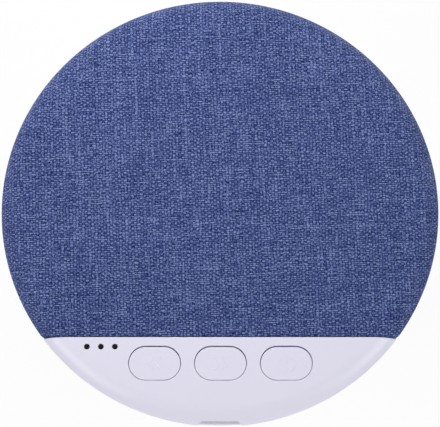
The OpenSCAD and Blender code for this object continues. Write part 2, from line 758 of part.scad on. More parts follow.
module connector_housing(x) {
    translate([x, connector_y, pcb_under_z - connector_h]) difference() {
        translate([-connector_l / 2, -connector_w / 2, 0]) cube([connector_l, connector_w, connector_h]);
        translate([-connector_l / 2 + connector_wall, -connector_w / 2 + connector_wall, connector_wall])
            cube([connector_l - 2 * connector_wall, connector_w, connector_h - 2 * connector_wall]);
    }
}
module connector_plug(x) {
    l = connector_l - 2 * (connector_wall + plug_fit);
    h = connector_h - 2 * (connector_wall + plug_fit);
    translate([x - l / 2, plug_back_y - plug_len, plug_z - h / 2]) cube([l, plug_len, h]);
}
module battery_connector() { color("#eceade") connector_housing(-connector_x); }
module speaker_connector() { color("#eceade") connector_housing(connector_x); }
module battery_plug() { color("#f6f4ea") connector_plug(-connector_x); }
module speaker_plug() { color("#f6f4ea") connector_plug(connector_x); }
module battery_leads() {
    end_z = cell_z + cell_t / 2;
    for (s = [-1, 1]) color(s < 0 ? "#b3202a" : "#1a1a1c") {
        start_x = -connector_x + s * lead_pitch / 2;
        end_x = s * lead_pitch - cell_lead_x;
        lead([[start_x, plug_back_y, plug_z],
              [start_x, plug_back_y + cell_lead_start, plug_z],
              [end_x, -cell_w / 2 - cell_lead_end, end_z],
              [end_x, -cell_w / 2, end_z]], lead_r, [1, 0, 0]);
    }
}
module speaker_leads() {
    end_z = flange_under_z - speaker_lead_drop;
    for (s = [-1, 1]) color(s < 0 ? "#b3202a" : "#1a1a1c") {
        start_x = connector_x + s * lead_pitch / 2;
        end_x = s * lead_pitch;
        lead([[start_x, plug_back_y, plug_z],
              [start_x, plug_back_y + speaker_lead_start + s * lead_pitch, plug_z],
              [end_x, terminal_y - speaker_lead_end + s * lead_pitch, end_z],
              [end_x, terminal_y, end_z]], lead_r, [0, 0, 1]);
    }
}

// Battery
module battery_pad() {
    pad_inset = 2;
    color("#33363c") translate([pad_inset - cell_l / 2, pad_inset - cell_w / 2, floor_z])
        cube([cell_l - 2 * pad_inset, cell_w - 2 * pad_inset, pad_t]);
}
module battery_cell() {
    color("#b8bcc4") translate([0, 0, cell_z]) rounded_box(cell_l, cell_w, cell_t, 1.5);
}

// Loudspeaker
module speaker_gasket() {
    color("#2b2b2e") difference() {
        translate([0, speaker_y, 0])
            ring(speaker_r - 0.2, basket_mouth_r + 0.5, gasket_under_z, deck_under_z);
        speaker_screw_places(gasket_under_z - 1) cylinder(r = small_screw_r + screw_fit, h = gasket_t + 2);
    }
}
module speaker_basket() {
    mouth_out = basket_mouth_r + 0.3;
    hole_r = coil_out_r + 1.6;
    color("#3a3c42") translate([0, speaker_y, 0]) difference() {
        union() {
            ring(speaker_r, basket_mouth_r, flange_under_z, gasket_under_z);
            rotate_extrude() polygon([
                [mouth_out, flange_under_z + eps], [mouth_out - basket_t, flange_under_z + eps],
                [basket_cup_r - basket_t, cup_top_z], [basket_cup_r - basket_t, cup_under_z + basket_t],
                [hole_r, cup_under_z + basket_t], [hole_r, cup_under_z],
                [basket_cup_r, cup_under_z], [basket_cup_r, cup_top_z]]);
        }
        translate([0, -speaker_y, 0]) speaker_screw_places(flange_under_z - 1)
            cylinder(r = small_screw_r + 4 * screw_fit, h = basket_t + 2);
        // Windows in the conical part
        for (a = [30:60:330]) rotate(a) translate([basket_cup_r + 0.6, -window_w / 2, cup_top_z + basket_t])
            cube([basket_mouth_r - basket_cup_r - 1.6, window_w, basket_cone_h - basket_t - 1]);
    }
}
module speaker_magnet() {
    color("#2a2a2c") translate([0, speaker_y, 0])
        ring(magnet_r, coil_out_r + 2, magnet_under_z, top_plate_under_z);
}
module top_plate() {
    color("#a7abb0") translate([0, speaker_y, 0])
        ring(magnet_r - 1.2, coil_out_r + magnet_gap, top_plate_under_z, cup_under_z);
}
module yoke() {
    color("#a7abb0") translate([0, speaker_y, yoke_under_z]) {
        cylinder(r = magnet_r - 1.2, h = pole_plate_t);
        cylinder(r = pole_r, h = cup_under_z - yoke_under_z);
    }
}
module voice_coil() {
    color("#b06a3a") translate([0, speaker_y, 0]) ring(coil_out_r, coil_r, coil_under_z, coil_top_z);
}
function cone_top(r) = neck_z +
    (gasket_under_z - neck_z) * (r - coil_out_r) / (cone_edge_r - cone_lip - coil_out_r);
module speaker_cone() {
    lip_r = cone_edge_r - cone_lip;
    color("#3b3a3c") translate([0, speaker_y, 0]) rotate_extrude() polygon([
        [coil_out_r, neck_z - cone_t * 1.3], [coil_out_r, neck_z],
        [lip_r, gasket_under_z], [cone_edge_r, gasket_under_z],
        [cone_edge_r, gasket_under_z - cone_t], [lip_r + cone_t / 2, gasket_under_z - cone_t]]);
}
module dust_cap() {
    cap_h = 2.4;
    cap_t = 0.4;
    foot = coil_out_r + 1.2;
    cap_r = (foot * foot + cap_h * cap_h) / (2 * cap_h);
    color("#2f2e31") translate([0, speaker_y, cone_top(foot) + 0.05]) difference() {
        intersection() {
            translate([0, 0, cap_h - cap_r]) sphere(cap_r);
            cylinder(r = foot + 1, h = cap_h + 1);
        }
        intersection() {
            translate([0, 0, cap_h - cap_r]) sphere(cap_r - cap_t);
            translate([0, 0, -1]) cylinder(r = foot + 1, h = cap_h + 2);
        }
    }
}
module cone_surround() {
    color("#1d1d1f") translate([0, speaker_y, 0]) rotate_extrude() union() {
        intersection() {
            translate([roll_c, gasket_under_z]) difference() {
                circle(roll_r);
                circle(roll_r - roll_t);
            }
            translate([0, gasket_under_z]) square([body_r, roll_r + 1]);
        }
        translate([cone_edge_r - cone_lip, gasket_under_z]) square([cone_lip, roll_t]);
        translate([roll_c + roll_r - roll_t / 2, gasket_under_z]) square([roll_t, roll_t]);
    }
}
module spider() {
    waves = 3;
    wave_h = 0.7;
    cloth_half = 0.15;
    glue_fit = 0.05;
    inner = coil_out_r + glue_fit;
    outer = basket_cup_r - basket_t - glue_fit;
    step = (outer - inner) / (2 * waves);
    z = cup_top_z - wave_h - cloth_half;
    function fold(i, up) = [inner + i * step, z + (i % 2) * wave_h + up * cloth_half];
    color("#b98a4a") translate([0, speaker_y, 0]) rotate_extrude()
        polygon([for (i = [0:2 * waves]) fold(i, 1), for (i = [2 * waves:-1:0]) fold(i, -1)]);
}
module speaker_terminals() {
    strip_w = 7;
    strip_h = 4;
    color("#8a5a34") translate([-strip_w / 2, terminal_y, flange_under_z - strip_h])
        cube([strip_w, terminal_t, strip_h]);
}

// Fasteners and feet
module speaker_screws() {
    color("#8e9298") speaker_screw_places(flange_under_z)
        screw(small_screw_r, small_screw_l, small_head_r, small_head_t);
}
module pcb_screws() {
    color("#8e9298") for (p = board_screws) translate([p.x, p.y, pcb_under_z])
        screw(small_screw_r, small_screw_l, small_head_r, small_head_t);
}
module case_screws() {
    color("#8e9298") for (p = case_screws_xy) translate([p.x, p.y, seat_z])
        screw(case_screw_r, case_screw_l, case_head_r, case_head_t);
}
module rubber_feet() {
    color("#c8c8cf") for (a = [0:90:270]) rotate(a) translate([foot_circle_r, 0, 0])
        rotate_extrude() polygon(concat(
            [[0, 0]], arc(foot_r - 0.8, 0.6, 0.6, 180, 100, 5),
            [[foot_r - 0.05, foot_h], [foot_r - 0.05, foot_h + foot_recess], [0, foot_h + foot_recess]]));
}

base_shell();
upper_case();
grille_plate();
grille_cloth();
back_button();
forward_button();
power_button();
back_plunger();
forward_plunger();
power_plunger();
switch_housings();
indicator_lens();
indicator_leds();
main_pcb();
usb_socket();
usb_tongue();
sound_chip();
amplifier_chip();
charge_chip();
capacitors();
passives();
battery_connector();
speaker_connector();
battery_plug();
speaker_plug();
battery_leads();
speaker_leads();
battery_cell();
battery_pad();
speaker_basket();
speaker_magnet();
top_plate();
yoke();
voice_coil();
speaker_cone();
dust_cap();
cone_surround();
spider();
speaker_gasket();
speaker_terminals();
speaker_screws();
pcb_screws();
case_screws();
rubber_feet();
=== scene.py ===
import math

import bmesh
import bpy
import numpy as np
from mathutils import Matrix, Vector
from mathutils.geometry import delaunay_2d_cdt


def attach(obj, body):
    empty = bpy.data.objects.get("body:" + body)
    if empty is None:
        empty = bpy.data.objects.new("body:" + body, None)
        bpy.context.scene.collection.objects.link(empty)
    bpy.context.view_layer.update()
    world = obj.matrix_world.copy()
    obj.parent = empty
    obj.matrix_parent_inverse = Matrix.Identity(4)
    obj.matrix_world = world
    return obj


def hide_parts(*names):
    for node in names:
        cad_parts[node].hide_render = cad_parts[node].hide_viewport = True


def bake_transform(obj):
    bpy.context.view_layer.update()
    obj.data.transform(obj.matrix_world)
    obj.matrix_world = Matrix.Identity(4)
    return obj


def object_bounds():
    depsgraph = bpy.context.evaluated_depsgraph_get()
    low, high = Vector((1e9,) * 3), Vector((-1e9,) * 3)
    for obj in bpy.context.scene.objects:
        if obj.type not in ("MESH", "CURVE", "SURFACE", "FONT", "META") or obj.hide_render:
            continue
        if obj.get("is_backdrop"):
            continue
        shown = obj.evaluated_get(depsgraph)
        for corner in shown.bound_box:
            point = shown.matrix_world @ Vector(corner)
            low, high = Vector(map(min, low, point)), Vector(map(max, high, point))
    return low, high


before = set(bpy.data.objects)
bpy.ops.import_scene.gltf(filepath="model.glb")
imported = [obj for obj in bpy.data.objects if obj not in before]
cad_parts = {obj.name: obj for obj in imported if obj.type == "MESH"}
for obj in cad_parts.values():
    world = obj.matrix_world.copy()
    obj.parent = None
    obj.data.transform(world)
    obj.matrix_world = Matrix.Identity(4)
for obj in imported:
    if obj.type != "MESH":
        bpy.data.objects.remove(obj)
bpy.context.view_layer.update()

# The pieces are worked out in millimetres and turned to metres when their meshes are made; the camera and
# the lamps are placed in metres.
MM = 0.001
UP = Vector((0, 0, 1))

# ---------------------------------------------------------------- camera
FACE = Vector((0, 0, 34 * MM))
AIM = Vector((0, -1.443 * MM, 33.65 * MM))
CAMERA_TILT = math.radians(76.38)
CAMERA_DISTANCE = 600 * MM
FOCAL_LENGTH = 215.5

camera = bpy.data.objects.new("camera", bpy.data.cameras.new("camera"))
bpy.context.scene.collection.objects.link(camera)
camera.location = FACE + CAMERA_DISTANCE * Vector((0, -math.cos(CAMERA_TILT), math.sin(CAMERA_TILT)))
camera.rotation_euler = (AIM - camera.location).to_track_quat("-Z", "Y").to_euler()
camera.data.lens = FOCAL_LENGTH
camera.data.sensor_width = 36
camera.data.sensor_fit = "HORIZONTAL"
camera.data.clip_start = 0.01
camera.data.clip_end = 20
bpy.context.scene.camera = camera
bpy.context.scene.view_settings.view_transform = "Standard"

# ---------------------------------------------------------------- nodes
FINISH = {}


def colour(hex_code):
    """Linear colour of an sRGB hex value."""
    channels = [int(hex_code[i:i + 2], 16) / 255 for i in (1, 3, 5)]
    return (*[c / 12.92 if c <= 0.04045 else ((c + 0.055) / 1.055) ** 2.4 for c in channels], 1)


def add(tree, kind, inputs=None, **settings):
    """One node with its settings; kind leaves out ShaderNode where it starts with that.

    An input takes a value, a node's first output, a socket, or a list of nodes to join.
    """
    made = tree.nodes.new(kind if "Node" in kind else "ShaderNode" + kind)
    for name, value in settings.items():
        setattr(made, name, value)
    for key, given in (inputs or {}).items():
        for value in given if isinstance(given, list) else [given]:
            if isinstance(value, bpy.types.Node):
                tree.links.new(value.outputs[0], made.inputs[key])
            elif isinstance(value, bpy.types.NodeSocket):
                tree.links.new(value, made.inputs[key])
            else:
                made.inputs[key].default_value = value
    return made


def material(slot, name):
    """A new material for one of the record's slots; returns its empty tree."""
    made = bpy.data.materials.new(name)
    made.use_nodes = True
    made.node_tree.nodes.clear()
    FINISH[slot] = made
    return made.node_tree


def shaded(tree, shader):
    add(tree, "OutputMaterial", {"Surface": shader})


# ---------------------------------------------------------------- materials
# the part of a noise's range in which nearly all of it lies
NOISE_LOW = 0.3
NOISE_HIGH = 0.7


def grained(slot, name, dark, light, grain_mm, roughness, spread, relief_mm, stretch=(1, 1, 1), **sockets):
    """A finish whose colour, gloss and relief follow one grain; sockets are the shader's own settings."""
    tree = material(slot, name)
    spots = add(tree, "Mapping", {"Vector": add(tree, "TexCoord").outputs["Object"], "Scale": stretch})
    grain = add(tree, "TexNoise", {"Vector": spots, "Scale": 1000 / grain_mm, "Detail": 4.0})
    tone = add(tree, "ValToRGB", {"Fac": grain})
    for end, position, tint in zip(tone.color_ramp.elements, (NOISE_LOW, NOISE_HIGH), (dark, light)):
        end.position = position
        end.color = colour(tint)
    gloss = add(tree, "MapRange", {"Value": grain, "From Min": NOISE_LOW, "From Max": NOISE_HIGH,
                                   "To Min": roughness - spread, "To Max": roughness + spread})
    given = {"Base Color": tone, "Roughness": gloss}
    if relief_mm:
        given["Normal"] = add(tree, "Bump", {"Height": grain, "Strength": 1.0, "Distance": relief_mm * MM})
    given.update({key.replace("_", " "): value for key, value in sockets.items()})
    shaded(tree, add(tree, "BsdfPrincipled", given))


def patterned(tree, pattern, low, high, strength, relief_mm, **sockets):
    """Ends a material whose colour and relief follow one drawn pattern between two colours."""
    tone = add(tree, "Mix", {"Factor": pattern, "A": colour(low), "B": colour(high)}, data_type="RGBA")
    raised = add(tree, "Bump", {"Height": pattern, "Strength": strength, "Distance": relief_mm * MM})
    given = {"Base Color": tone.outputs["Result"], "Normal": raised, **sockets}
    shaded(tree, add(tree, "BsdfPrincipled", given))


def ripples(tree, place, length_mm):
    """A sine wave along a coordinate in metres, with one crest in each length."""
    turn = add(tree, "Math", {0: place, 1: 2 * math.pi / (length_mm * MM)}, operation="MULTIPLY")
    return add(tree, "Math", {0: turn}, operation="SINE")


# Moulded ABS with a fine spark-eroded grain: an even cool white with a soft wide gloss.
grained("white_shell", "white ABS, fine spark grain", "#DCDAEA", "#DFDDED", 0.25, 0.38, 0.03, 0.002)
# The same ABS from a smoother tool, so the caps shine a little more than the panel round them.
grained("white_key", "white ABS, smooth key caps", "#DCDAEA", "#DFDDED", 0.3, 0.33, 0.03, 0.0015)
# Black ABS plate that lies under the cloth: matt, with faint flow marks.
grained("grille_plastic", "black ABS, moulded grille plate", "#1D1E23", "#25262C", 1.2, 0.6, 0.08, 0.004)
# Glass-filled nylon: near black and dull, with fibres just under the skin.
grained("dark_plastic", "black nylon, glass filled", "#141417", "#212126", 0.12, 0.5, 0.1, 0.003)
# Stamped stainless steel: bright, with the rolling lines of the sheet.
grained("switch_steel", "stainless steel, stamped sheet", "#AEB0B3", "#CACCCF", 0.1, 0.3, 0.08, 0.001,
        (1, 0.05, 1), Metallic=1.0)
# Smoked polycarbonate: a deep neutral dark with a small dull gloss, because the light behind it is off.
grained("smoked_lens", "smoked polycarbonate, unlit", "#030408", "#05060A", 0.4, 0.35, 0.05, 0.0,
        IOR=1.58, Specular_IOR_Level=0.12)
# Cast epoxy over the chip: pale amber and glassy.
grained("led_resin", "clear epoxy, cast", "#D9CFA0", "#E9E2BE", 0.3, 0.12, 0.04, 0.0,
        IOR=1.55, Coat_Weight=0.5)
# Tin over deep-drawn steel: a cool pale grey, half mirror, softened by fine drawing lines.
grained("plated_steel", "tin-plated steel, drawn", "#B2AFB7", "#C2BFC7", 0.6, 0.34, 0.03, 0.001,
        (1, 0.08, 1), Metallic=1.0)
# Black epoxy moulding compound: dull and slightly sandy.
grained("chip_resin", "black epoxy moulding compound", "#17171A", "#222226", 0.08, 0.62, 0.08, 0.004)
# Drawn aluminium can: silvery satin with lines along its height.
grained("can_aluminium", "aluminium, drawn can", "#C6C8CB", "#DEDFE1", 0.12, 0.3, 0.08, 0.001,
        (1, 1, 0.06), Metallic=1.0)
# Fired ceramic blocks: tan and chalky, speckled from body to body.
grained("ceramic_parts", "fired ceramic, tan", "#8F7550", "#BDA27A", 0.5, 0.55, 0.1, 0.002)
# Natural nylon housings: a warm off-white, slightly waxy.
grained("connector_plastic", "natural nylon, moulded", "#DDD6C2", "#EBE6D6", 0.6, 0.42, 0.05, 0.002, IOR=1.53)
# PVC lead sleeving: dark grey, rubbery, with a faint extrusion grain.
grained("lead_sleeve", "PVC sleeving, extruded", "#2A2A2E", "#3A3A40", 0.3, 0.48, 0.06, 0.002, IOR=1.54)
# Laminated aluminium pouch: silver satin with shallow puckers from the vacuum seal.
grained("cell_foil", "aluminium laminate, pouch foil", "#B4B6BA", "#D2D4D7", 4.0, 0.36, 0.08, 0.12,
        Metallic=1.0)
# Closed-cell polyethylene foam: charcoal, fully matt, with cells that show as fine pits.
grained("foam", "polyethylene foam, closed cell", "#1E1E21", "#38383C", 0.45, 0.93, 0.04, 0.08)
# Black stoving enamel on pressed steel: semi-gloss with a light orange peel.
grained("basket_paint", "black stoving enamel", "#121316", "#1C1D21", 0.9, 0.38, 0.05, 0.01, Coat_Weight=0.2)
# Sintered ferrite, ground on its faces: charcoal with a metallic speckle.
grained("ferrite", "sintered ferrite, ground", "#2B2B2F", "#47474C", 0.2, 0.5, 0.12, 0.004, IOR=2.3)
# Bright zinc on steel: cool silver with cloudy patches.
grained("zinc_steel", "zinc-plated steel", "#A9AEB6", "#C6CAD0", 2.5, 0.34, 0.1, 0.001, Metallic=1.0)
# Pressed paper pulp, dyed: dark grey, matt and fibrous.
grained("cone_paper", "paper pulp, pressed", "#202023", "#3B3B40", 0.5, 0.85, 0.06, 0.02, (1, 0.3, 1))
# Butyl rubber roll: deep black with a low sheen.
grained("surround_rubber", "butyl rubber, moulded", "#101012", "#191A1C", 0.7, 0.55, 0.06, 0.004, IOR=1.52)
# Paper laminate board: brown, smooth, with a faint mottling.
grained("terminal_board", "phenolic paper laminate", "#6E421D", "#8D5A2C", 0.8, 0.4, 0.06, 0.002, IOR=1.55)
# Zinc-plated steel screws: grey metal, dulled by tumbling.
grained("screw_steel", "zinc-plated steel, tumbled", "#8F9298", "#B4B7BC", 0.15, 0.36, 0.1, 0.002,
        Metallic=1.0)
# Moulded silicone rubber feet: pale grey, matt, slightly tacky-looking.
grained("foot_rubber", "silicone rubber, moulded", "#B9B9C0", "#C6C6CD", 0.35, 0.68, 0.05, 0.003, IOR=1.41)

# Solder mask over a copper ground fill: glossy green, with tracks that show as lighter raised lines.
tree = material("board_green", "green solder mask over copper")
in_mm = add(tree, "Mapping", {"Vector": add(tree, "TexCoord").outputs["Object"], "Scale": (1000, 1000, 1000)})
tracks = add(tree, "TexVoronoi", {"Vector": in_mm, "Scale": 0.45}, feature="DISTANCE_TO_EDGE",
             voronoi_dimensions="2D", distance="CHEBYCHEV")
tracks = add(tree, "MapRange", {"Value": tracks, "From Min": 0.1, "From Max": 0.14,
                                "To Min": 1.0, "To Max": 0.0})
patterned(tree, tracks, "#0E4A26", "#1C6B38", 0.6, 0.035, Roughness=0.22, IOR=1.55)

# Enamelled copper wire wound in even turns: reddish metal with a painted highlight along every turn and
# painted shade in the grooves between turns.
WIRE_MM = 0.16
tree = material("coil_copper", "enamelled copper winding")
at = add(tree, "SeparateXYZ", {0: add(tree, "TexCoord").outputs["Object"]})
# painted light: each turn's crown is painted lighter and the groove between turns darker
turns = add(tree, "MapRange", {"Value": ripples(tree, at.outputs["Z"], WIRE_MM), "From Min": -1.0})
patterned(tree, turns, "#6E3216", "#C4733C", 1.0, 0.03, Metallic=1.0, Roughness=0.3)

# Cotton cloth stiffened with resin: amber, with its open weave showing as a fine check.
SPIDER_YARN_MM = 0.45
tree = material("spider_cloth", "resin-stiffened cotton")
at = add(tree, "SeparateXYZ", {0: add(tree, "TexCoord").outputs["Object"]})
waves = {k: ripples(tree, at.outputs[k], SPIDER_YARN_MM) for k in (0, 1)}
check = add(tree, "MapRange", {"Value": add(tree, "Math", waves, operation="MULTIPLY"), "From Min": -1.0})
patterned(tree, check, "#8A5E22", "#CFA057", 0.8, 0.08, Roughness=0.7)

# Plain weave of slubby navy linen-look yarn: painted highlights on the crowns where a yarn comes up, painted
# shade in the gaps between, and paler or darker runs along single yarns where the yarn is thick or thin.
WARP_MM = 0.70
WEFT_MM = 0.47
CLOTH_TURN = math.radians(-1.6)
# the yarns' slow drift and their quick unevenness: noise scale per millimetre, detail, reach
SWAYS = ((0.35, 2.0, (0.55, 0.45, 0)), (1.3, 1.0, (0.24, 0.20, 0)))
# powers of the crown's sine across x and y where the warp is up and where the weft is; less is flatter
CROWNS = (("X", 0.42, 0.20), ("Y", 0.20, 0.40))
# slubs: the axis across the yarn, the one along it, width and length in millimetres, strength
SLUBS = (("X", "Y", 1.6, 2.4, 0.50), ("Y", "X", 1.0, 3.0, 0.66))
# single thick yarns: how much paler, the part of a noise that shows them, their length, and a step that
# sets one yarn's noise apart from the next's
THICK_YARN = 0.11
THICK_FROM = (0.55, 0.80)
THICK_YARN_MM = 9.0
YARN_STEP = 7.31
# patches in which the rows stand out: their size, and how much
ROW_PATCH_MM = (3.0, 1.2)
ROW_LINES = 1.6
# tones: the painted highlight on a warp and on a weft crown, each crossing's own shift, of the fibres, of
# wide clouds
WARP_LEVEL = 0.60
WEFT_LEVEL = 0.90
CROSSING_SHIFT = (-0.165, -0.015)
FIBRE = 1.15
CLOUDS = 0.015
tree = material("linen_cloth", "woven navy polyester linen")
flat_map = add(tree, "UVMap", uv_map="threads")
in_mm = add(tree, "Mapping", {"Vector": flat_map, "Rotation": (0, 0, CLOTH_TURN),
                              "Scale": (1000, 1000, 1000)})
drifted = in_mm
for scale, detail, reach in SWAYS:
    sway = add(tree, "TexNoise", {"Vector": in_mm, "Scale": scale, "Detail": detail}, noise_dimensions="2D")
    sway = add(tree, "VectorMath", {0: sway.outputs["Color"], 1: (0.5, 0.5, 0.5)}, operation="SUBTRACT")
    sway = add(tree, "VectorMath", {0: sway, 1: reach}, operation="MULTIPLY")
    drifted = add(tree, "VectorMath", {0: drifted, 1: sway}, operation="ADD")
counted = add(tree, "VectorMath", {0: drifted, 1: (1 / WARP_MM, 1 / WEFT_MM, 0)}, operation="MULTIPLY")
crossing = add(tree, "VectorMath", {0: counted}, operation="FLOOR")
yarn = add(tree, "SeparateXYZ", {0: crossing})
within = add(tree, "SeparateXYZ", {0: add(tree, "VectorMath", {0: counted}, operation="FRACTION")})
place_mm = add(tree, "SeparateXYZ", {0: drifted})
both = add(tree, "Math", {0: yarn.outputs["X"], 1: yarn.outputs["Y"]}, operation="ADD")
weft_up = add(tree, "Math", {0: both, 1: 2.0}, operation="FLOORED_MODULO")
crowns = []
for axis, warp, weft in CROWNS:
    wave = add(tree, "Math", {0: within.outputs[axis], 1: math.pi}, operation="MULTIPLY")
    wave = add(tree, "Math", {0: wave}, operation="SINE")
    power = add(tree, "MapRange", {"Value": weft_up, "To Min": warp, "To Max": weft})
    crowns.append(add(tree, "Math", {0: wave, 1: power}, operation="POWER"))
crown = add(tree, "Math", {0: crowns[0], 1: crowns[1]}, operation="MULTIPLY")
runs = []
for across_yarn, along_yarn, width_mm, length_mm, strength in SLUBS:
    spot = add(tree, "CombineXYZ", {
        "X": add(tree, "Math", {0: place_mm.outputs[along_yarn], 1: length_mm}, operation="DIVIDE"),
        "Y": add(tree, "Math", {0: place_mm.outputs[across_yarn], 1: width_mm}, operation="DIVIDE")})
    slub = add(tree, "TexNoise", {"Vector": spot, "Scale": 1.0, "Detail": 2.0}, noise_dimensions="2D")
    slub = add(tree, "Math", {0: slub, 1: 0.5}, operation="SUBTRACT")
    odd = add(tree, "Math", {0: yarn.outputs[across_yarn], 1: 2.0}, operation="FLOORED_MODULO")
    sign = add(tree, "MapRange", {"Value": odd, "To Min": -strength, "To Max": strength})
    runs.append(add(tree, "Math", {0: slub, 1: sign}, operation="MULTIPLY"))
    spot = add(tree, "CombineXYZ", {
        "X": add(tree, "Math", {0: yarn.outputs[across_yarn], 1: YARN_STEP}, operation="MULTIPLY"),
        "Y": add(tree, "Math", {0: place_mm.outputs[along_yarn], 1: THICK_YARN_MM}, operation="DIVIDE")})
    thick = add(tree, "TexNoise", {"Vector": spot, "Scale": 1.0, "Detail": 0.0}, noise_dimensions="2D")
    runs.append(add(tree, "MapRange", {"Value": thick, "From Min": THICK_FROM[0],
                                       "From Max": THICK_FROM[1], "To Max": THICK_YARN}))
patch = add(tree, "VectorMath", {0: drifted, 1: (*[1 / size for size in ROW_PATCH_MM], 0)},
            operation="MULTIPLY")
patch = add(tree, "TexNoise", {"Vector": patch, "Scale": 1.0, "Detail": 2.0}, noise_dimensions="2D")
patch = add(tree, "MapRange", {"Value": patch, "To Min": ROW_LINES / 2, "To Max": -ROW_LINES / 2})
ripple = add(tree, "Math", {0: within.outputs["Y"], 1: 2 * math.pi}, operation="MULTIPLY")
ripple = add(tree, "Math", {0: ripple}, operation="COSINE")
runs.append(add(tree, "Math", {0: ripple, 1: patch}, operation="MULTIPLY"))
slubs = runs[0]
for run in runs[1:]:
    slubs = add(tree, "Math", {0: slubs, 1: run}, operation="ADD")
each = add(tree, "TexWhiteNoise", {"Vector": crossing}, noise_dimensions="2D")
each = add(tree, "MapRange", {"Value": each, "To Min": CROSSING_SHIFT[0], "To Max": CROSSING_SHIFT[1]})
fibre = add(tree, "TexNoise", {"Vector": drifted, "Scale": 2.6, "Detail": 1.0}, noise_dimensions="2D")
fibre = add(tree, "Math", {0: fibre, 1: 0.5}, operation="SUBTRACT")
fibre = add(tree, "Math", {0: fibre, 1: FIBRE}, operation="MULTIPLY")
cloudy = add(tree, "TexNoise", {"Vector": in_mm, "Scale": 0.05, "Detail": 1.0}, noise_dimensions="2D")
cloudy = add(tree, "MapRange", {"Value": cloudy, "From Min": NOISE_LOW, "From Max": NOISE_HIGH,
                                "To Min": -CLOUDS, "To Max": CLOUDS})
# painted light: the crown's height makes each yarn's top lighter as a highlight and the gaps between yarns
# darker as shade
lit = add(tree, "MapRange", {"Value": weft_up, "To Min": WARP_LEVEL, "To Max": WEFT_LEVEL})
tone = add(tree, "Math", {0: crown, 1: lit}, operation="MULTIPLY")
for part in (each, fibre, slubs, cloudy):
    tone = add(tree, "Math", {0: tone, 1: part}, operation="ADD", use_clamp=part == cloudy)
shades = add(tree, "ValToRGB", {"Fac": tone})
shades.color_ramp.elements[0].color = colour("#000F42")
shades.color_ramp.elements[1].color = colour("#7C89B7")
shades.color_ramp.elements.new(0.5).color = colour("#39487D")
raised = add(tree, "Bump", {"Height": crown, "Strength": 0.5, "Distance": 0.1 * MM})
shaded(tree, add(tree, "BsdfPrincipled", {
    "Base Color": shades, "Roughness": 0.9, "Specular IOR Level": 0.15, "Sheen Tint": colour("#B4BEE6"),
    "Sheen Weight": 0.36, "Sheen Roughness": 0.48, "Normal": raised}))

# ---------------------------------------------------------------- sizes of the case
# the panel's straight edge, and the cloth's: its front edge, its depth under the skin, thickness and hem
EDGE_Y = 30.1
CLOTH_Y = 29.88
CLOTH_DROP = 0.12
CLOTH_T = 0.35
HEM_Z = 30.15
# the outline: a flat top, a wide shoulder arc, a tight rim arc, and a side wall that leans inwards
TOP_Z = 34.0
WALL = 2.0
SHOULDER_RHO = 45.536
SHOULDER_Z = 29.0
SHOULDER_R = 5.0
SHOULDER_TURN = math.radians(60)
RIM_RHO = 49.0
RIM_Z = 31.0
RIM_R = 1.0
TAPER = math.radians(15)
RIM_END = math.pi / 2 + TAPER
SHOULDER_END_S = SHOULDER_R * SHOULDER_TURN
RIM_END_S = SHOULDER_END_S + RIM_R * (RIM_END - SHOULDER_TURN)
SIDE_RHO = RIM_RHO + RIM_R * math.cos(TAPER)
SIDE_Z = RIM_Z - RIM_R * math.sin(TAPER)
# the ledge under the cloth, the seam of the two shells with its lap, where the turned skin starts on the
# flat top, the deck and the panel
LEDGE_Z = 30.0
SEAM_Z = 27.0
SEAM_GAP = 0.2
SEAM_EDGE_R = 0.15
SKIN_START = -0.12
LAP_W = 0.95
LAP_TOP_Z = 28.4
RING_Z = 28.6
DECK_RHO = 47.9
DECK_TOP_Z = 31.48
DECK_UNDER_Z = 29.48
UNDER_PANEL_Z = 32.0


def side_rho(z):
    return SIDE_RHO - (SIDE_Z - z) * math.tan(TAPER)


def skin_at(s):
    """Radius, height and outward direction at the distance s along the outline, from the shoulder's start."""
    if s <= 0:
        return SHOULDER_RHO + s, TOP_Z, 0.0, 1.0
    if s <= SHOULDER_END_S:
        a = s / SHOULDER_R
        c_rho, c_z, r = SHOULDER_RHO, SHOULDER_Z, SHOULDER_R
    elif s <= RIM_END_S:
        a = SHOULDER_TURN + (s - SHOULDER_END_S) / RIM_R
        c_rho, c_z, r = RIM_RHO, RIM_Z, RIM_R
    else:
        down = s - RIM_END_S
        return (SIDE_RHO - down * math.sin(TAPER), SIDE_Z - down * math.cos(TAPER),
                math.cos(TAPER), -math.sin(TAPER))
    return c_rho + r * math.sin(a), c_z + r * math.cos(a), math.sin(a), math.cos(a)


def skin_s(z):
    """The distance along the outline at which it has the height z."""
    rim_top = RIM_Z + RIM_R * math.cos(SHOULDER_TURN)
    if z > rim_top:
        return SHOULDER_R * math.acos((z - SHOULDER_Z) / SHOULDER_R)
    if z > SIDE_Z:
        return SHOULDER_END_S + RIM_R * (math.acos((z - RIM_Z) / RIM_R) - SHOULDER_TURN)
    return RIM_END_S + (SIDE_Z - z) / math.cos(TAPER)


def span(start, end, steps):
    return [start + (end - start) * i / steps for i in range(steps + 1)]


# ---------------------------------------------------------------- meshes from rows and outlines
MERGE = 2e-6
SMOOTH_BELOW = math.radians(35)
# a last row this far beyond a rounded edge keeps what follows it flat
HOLE_MARGIN = 0.05
EDGE_MARGIN = 0.06
# the height over which a straight edge's rounding fades away
EDGE_FADE = 0.5


def circle(x, y, r, count):
    """Points of a round outline, each with its outward direction."""
    turn = [2 * math.pi * i / count for i in range(count)]
    return [((x + r * math.cos(a), y + r * math.sin(a)), (math.cos(a), math.sin(a))) for a in turn]


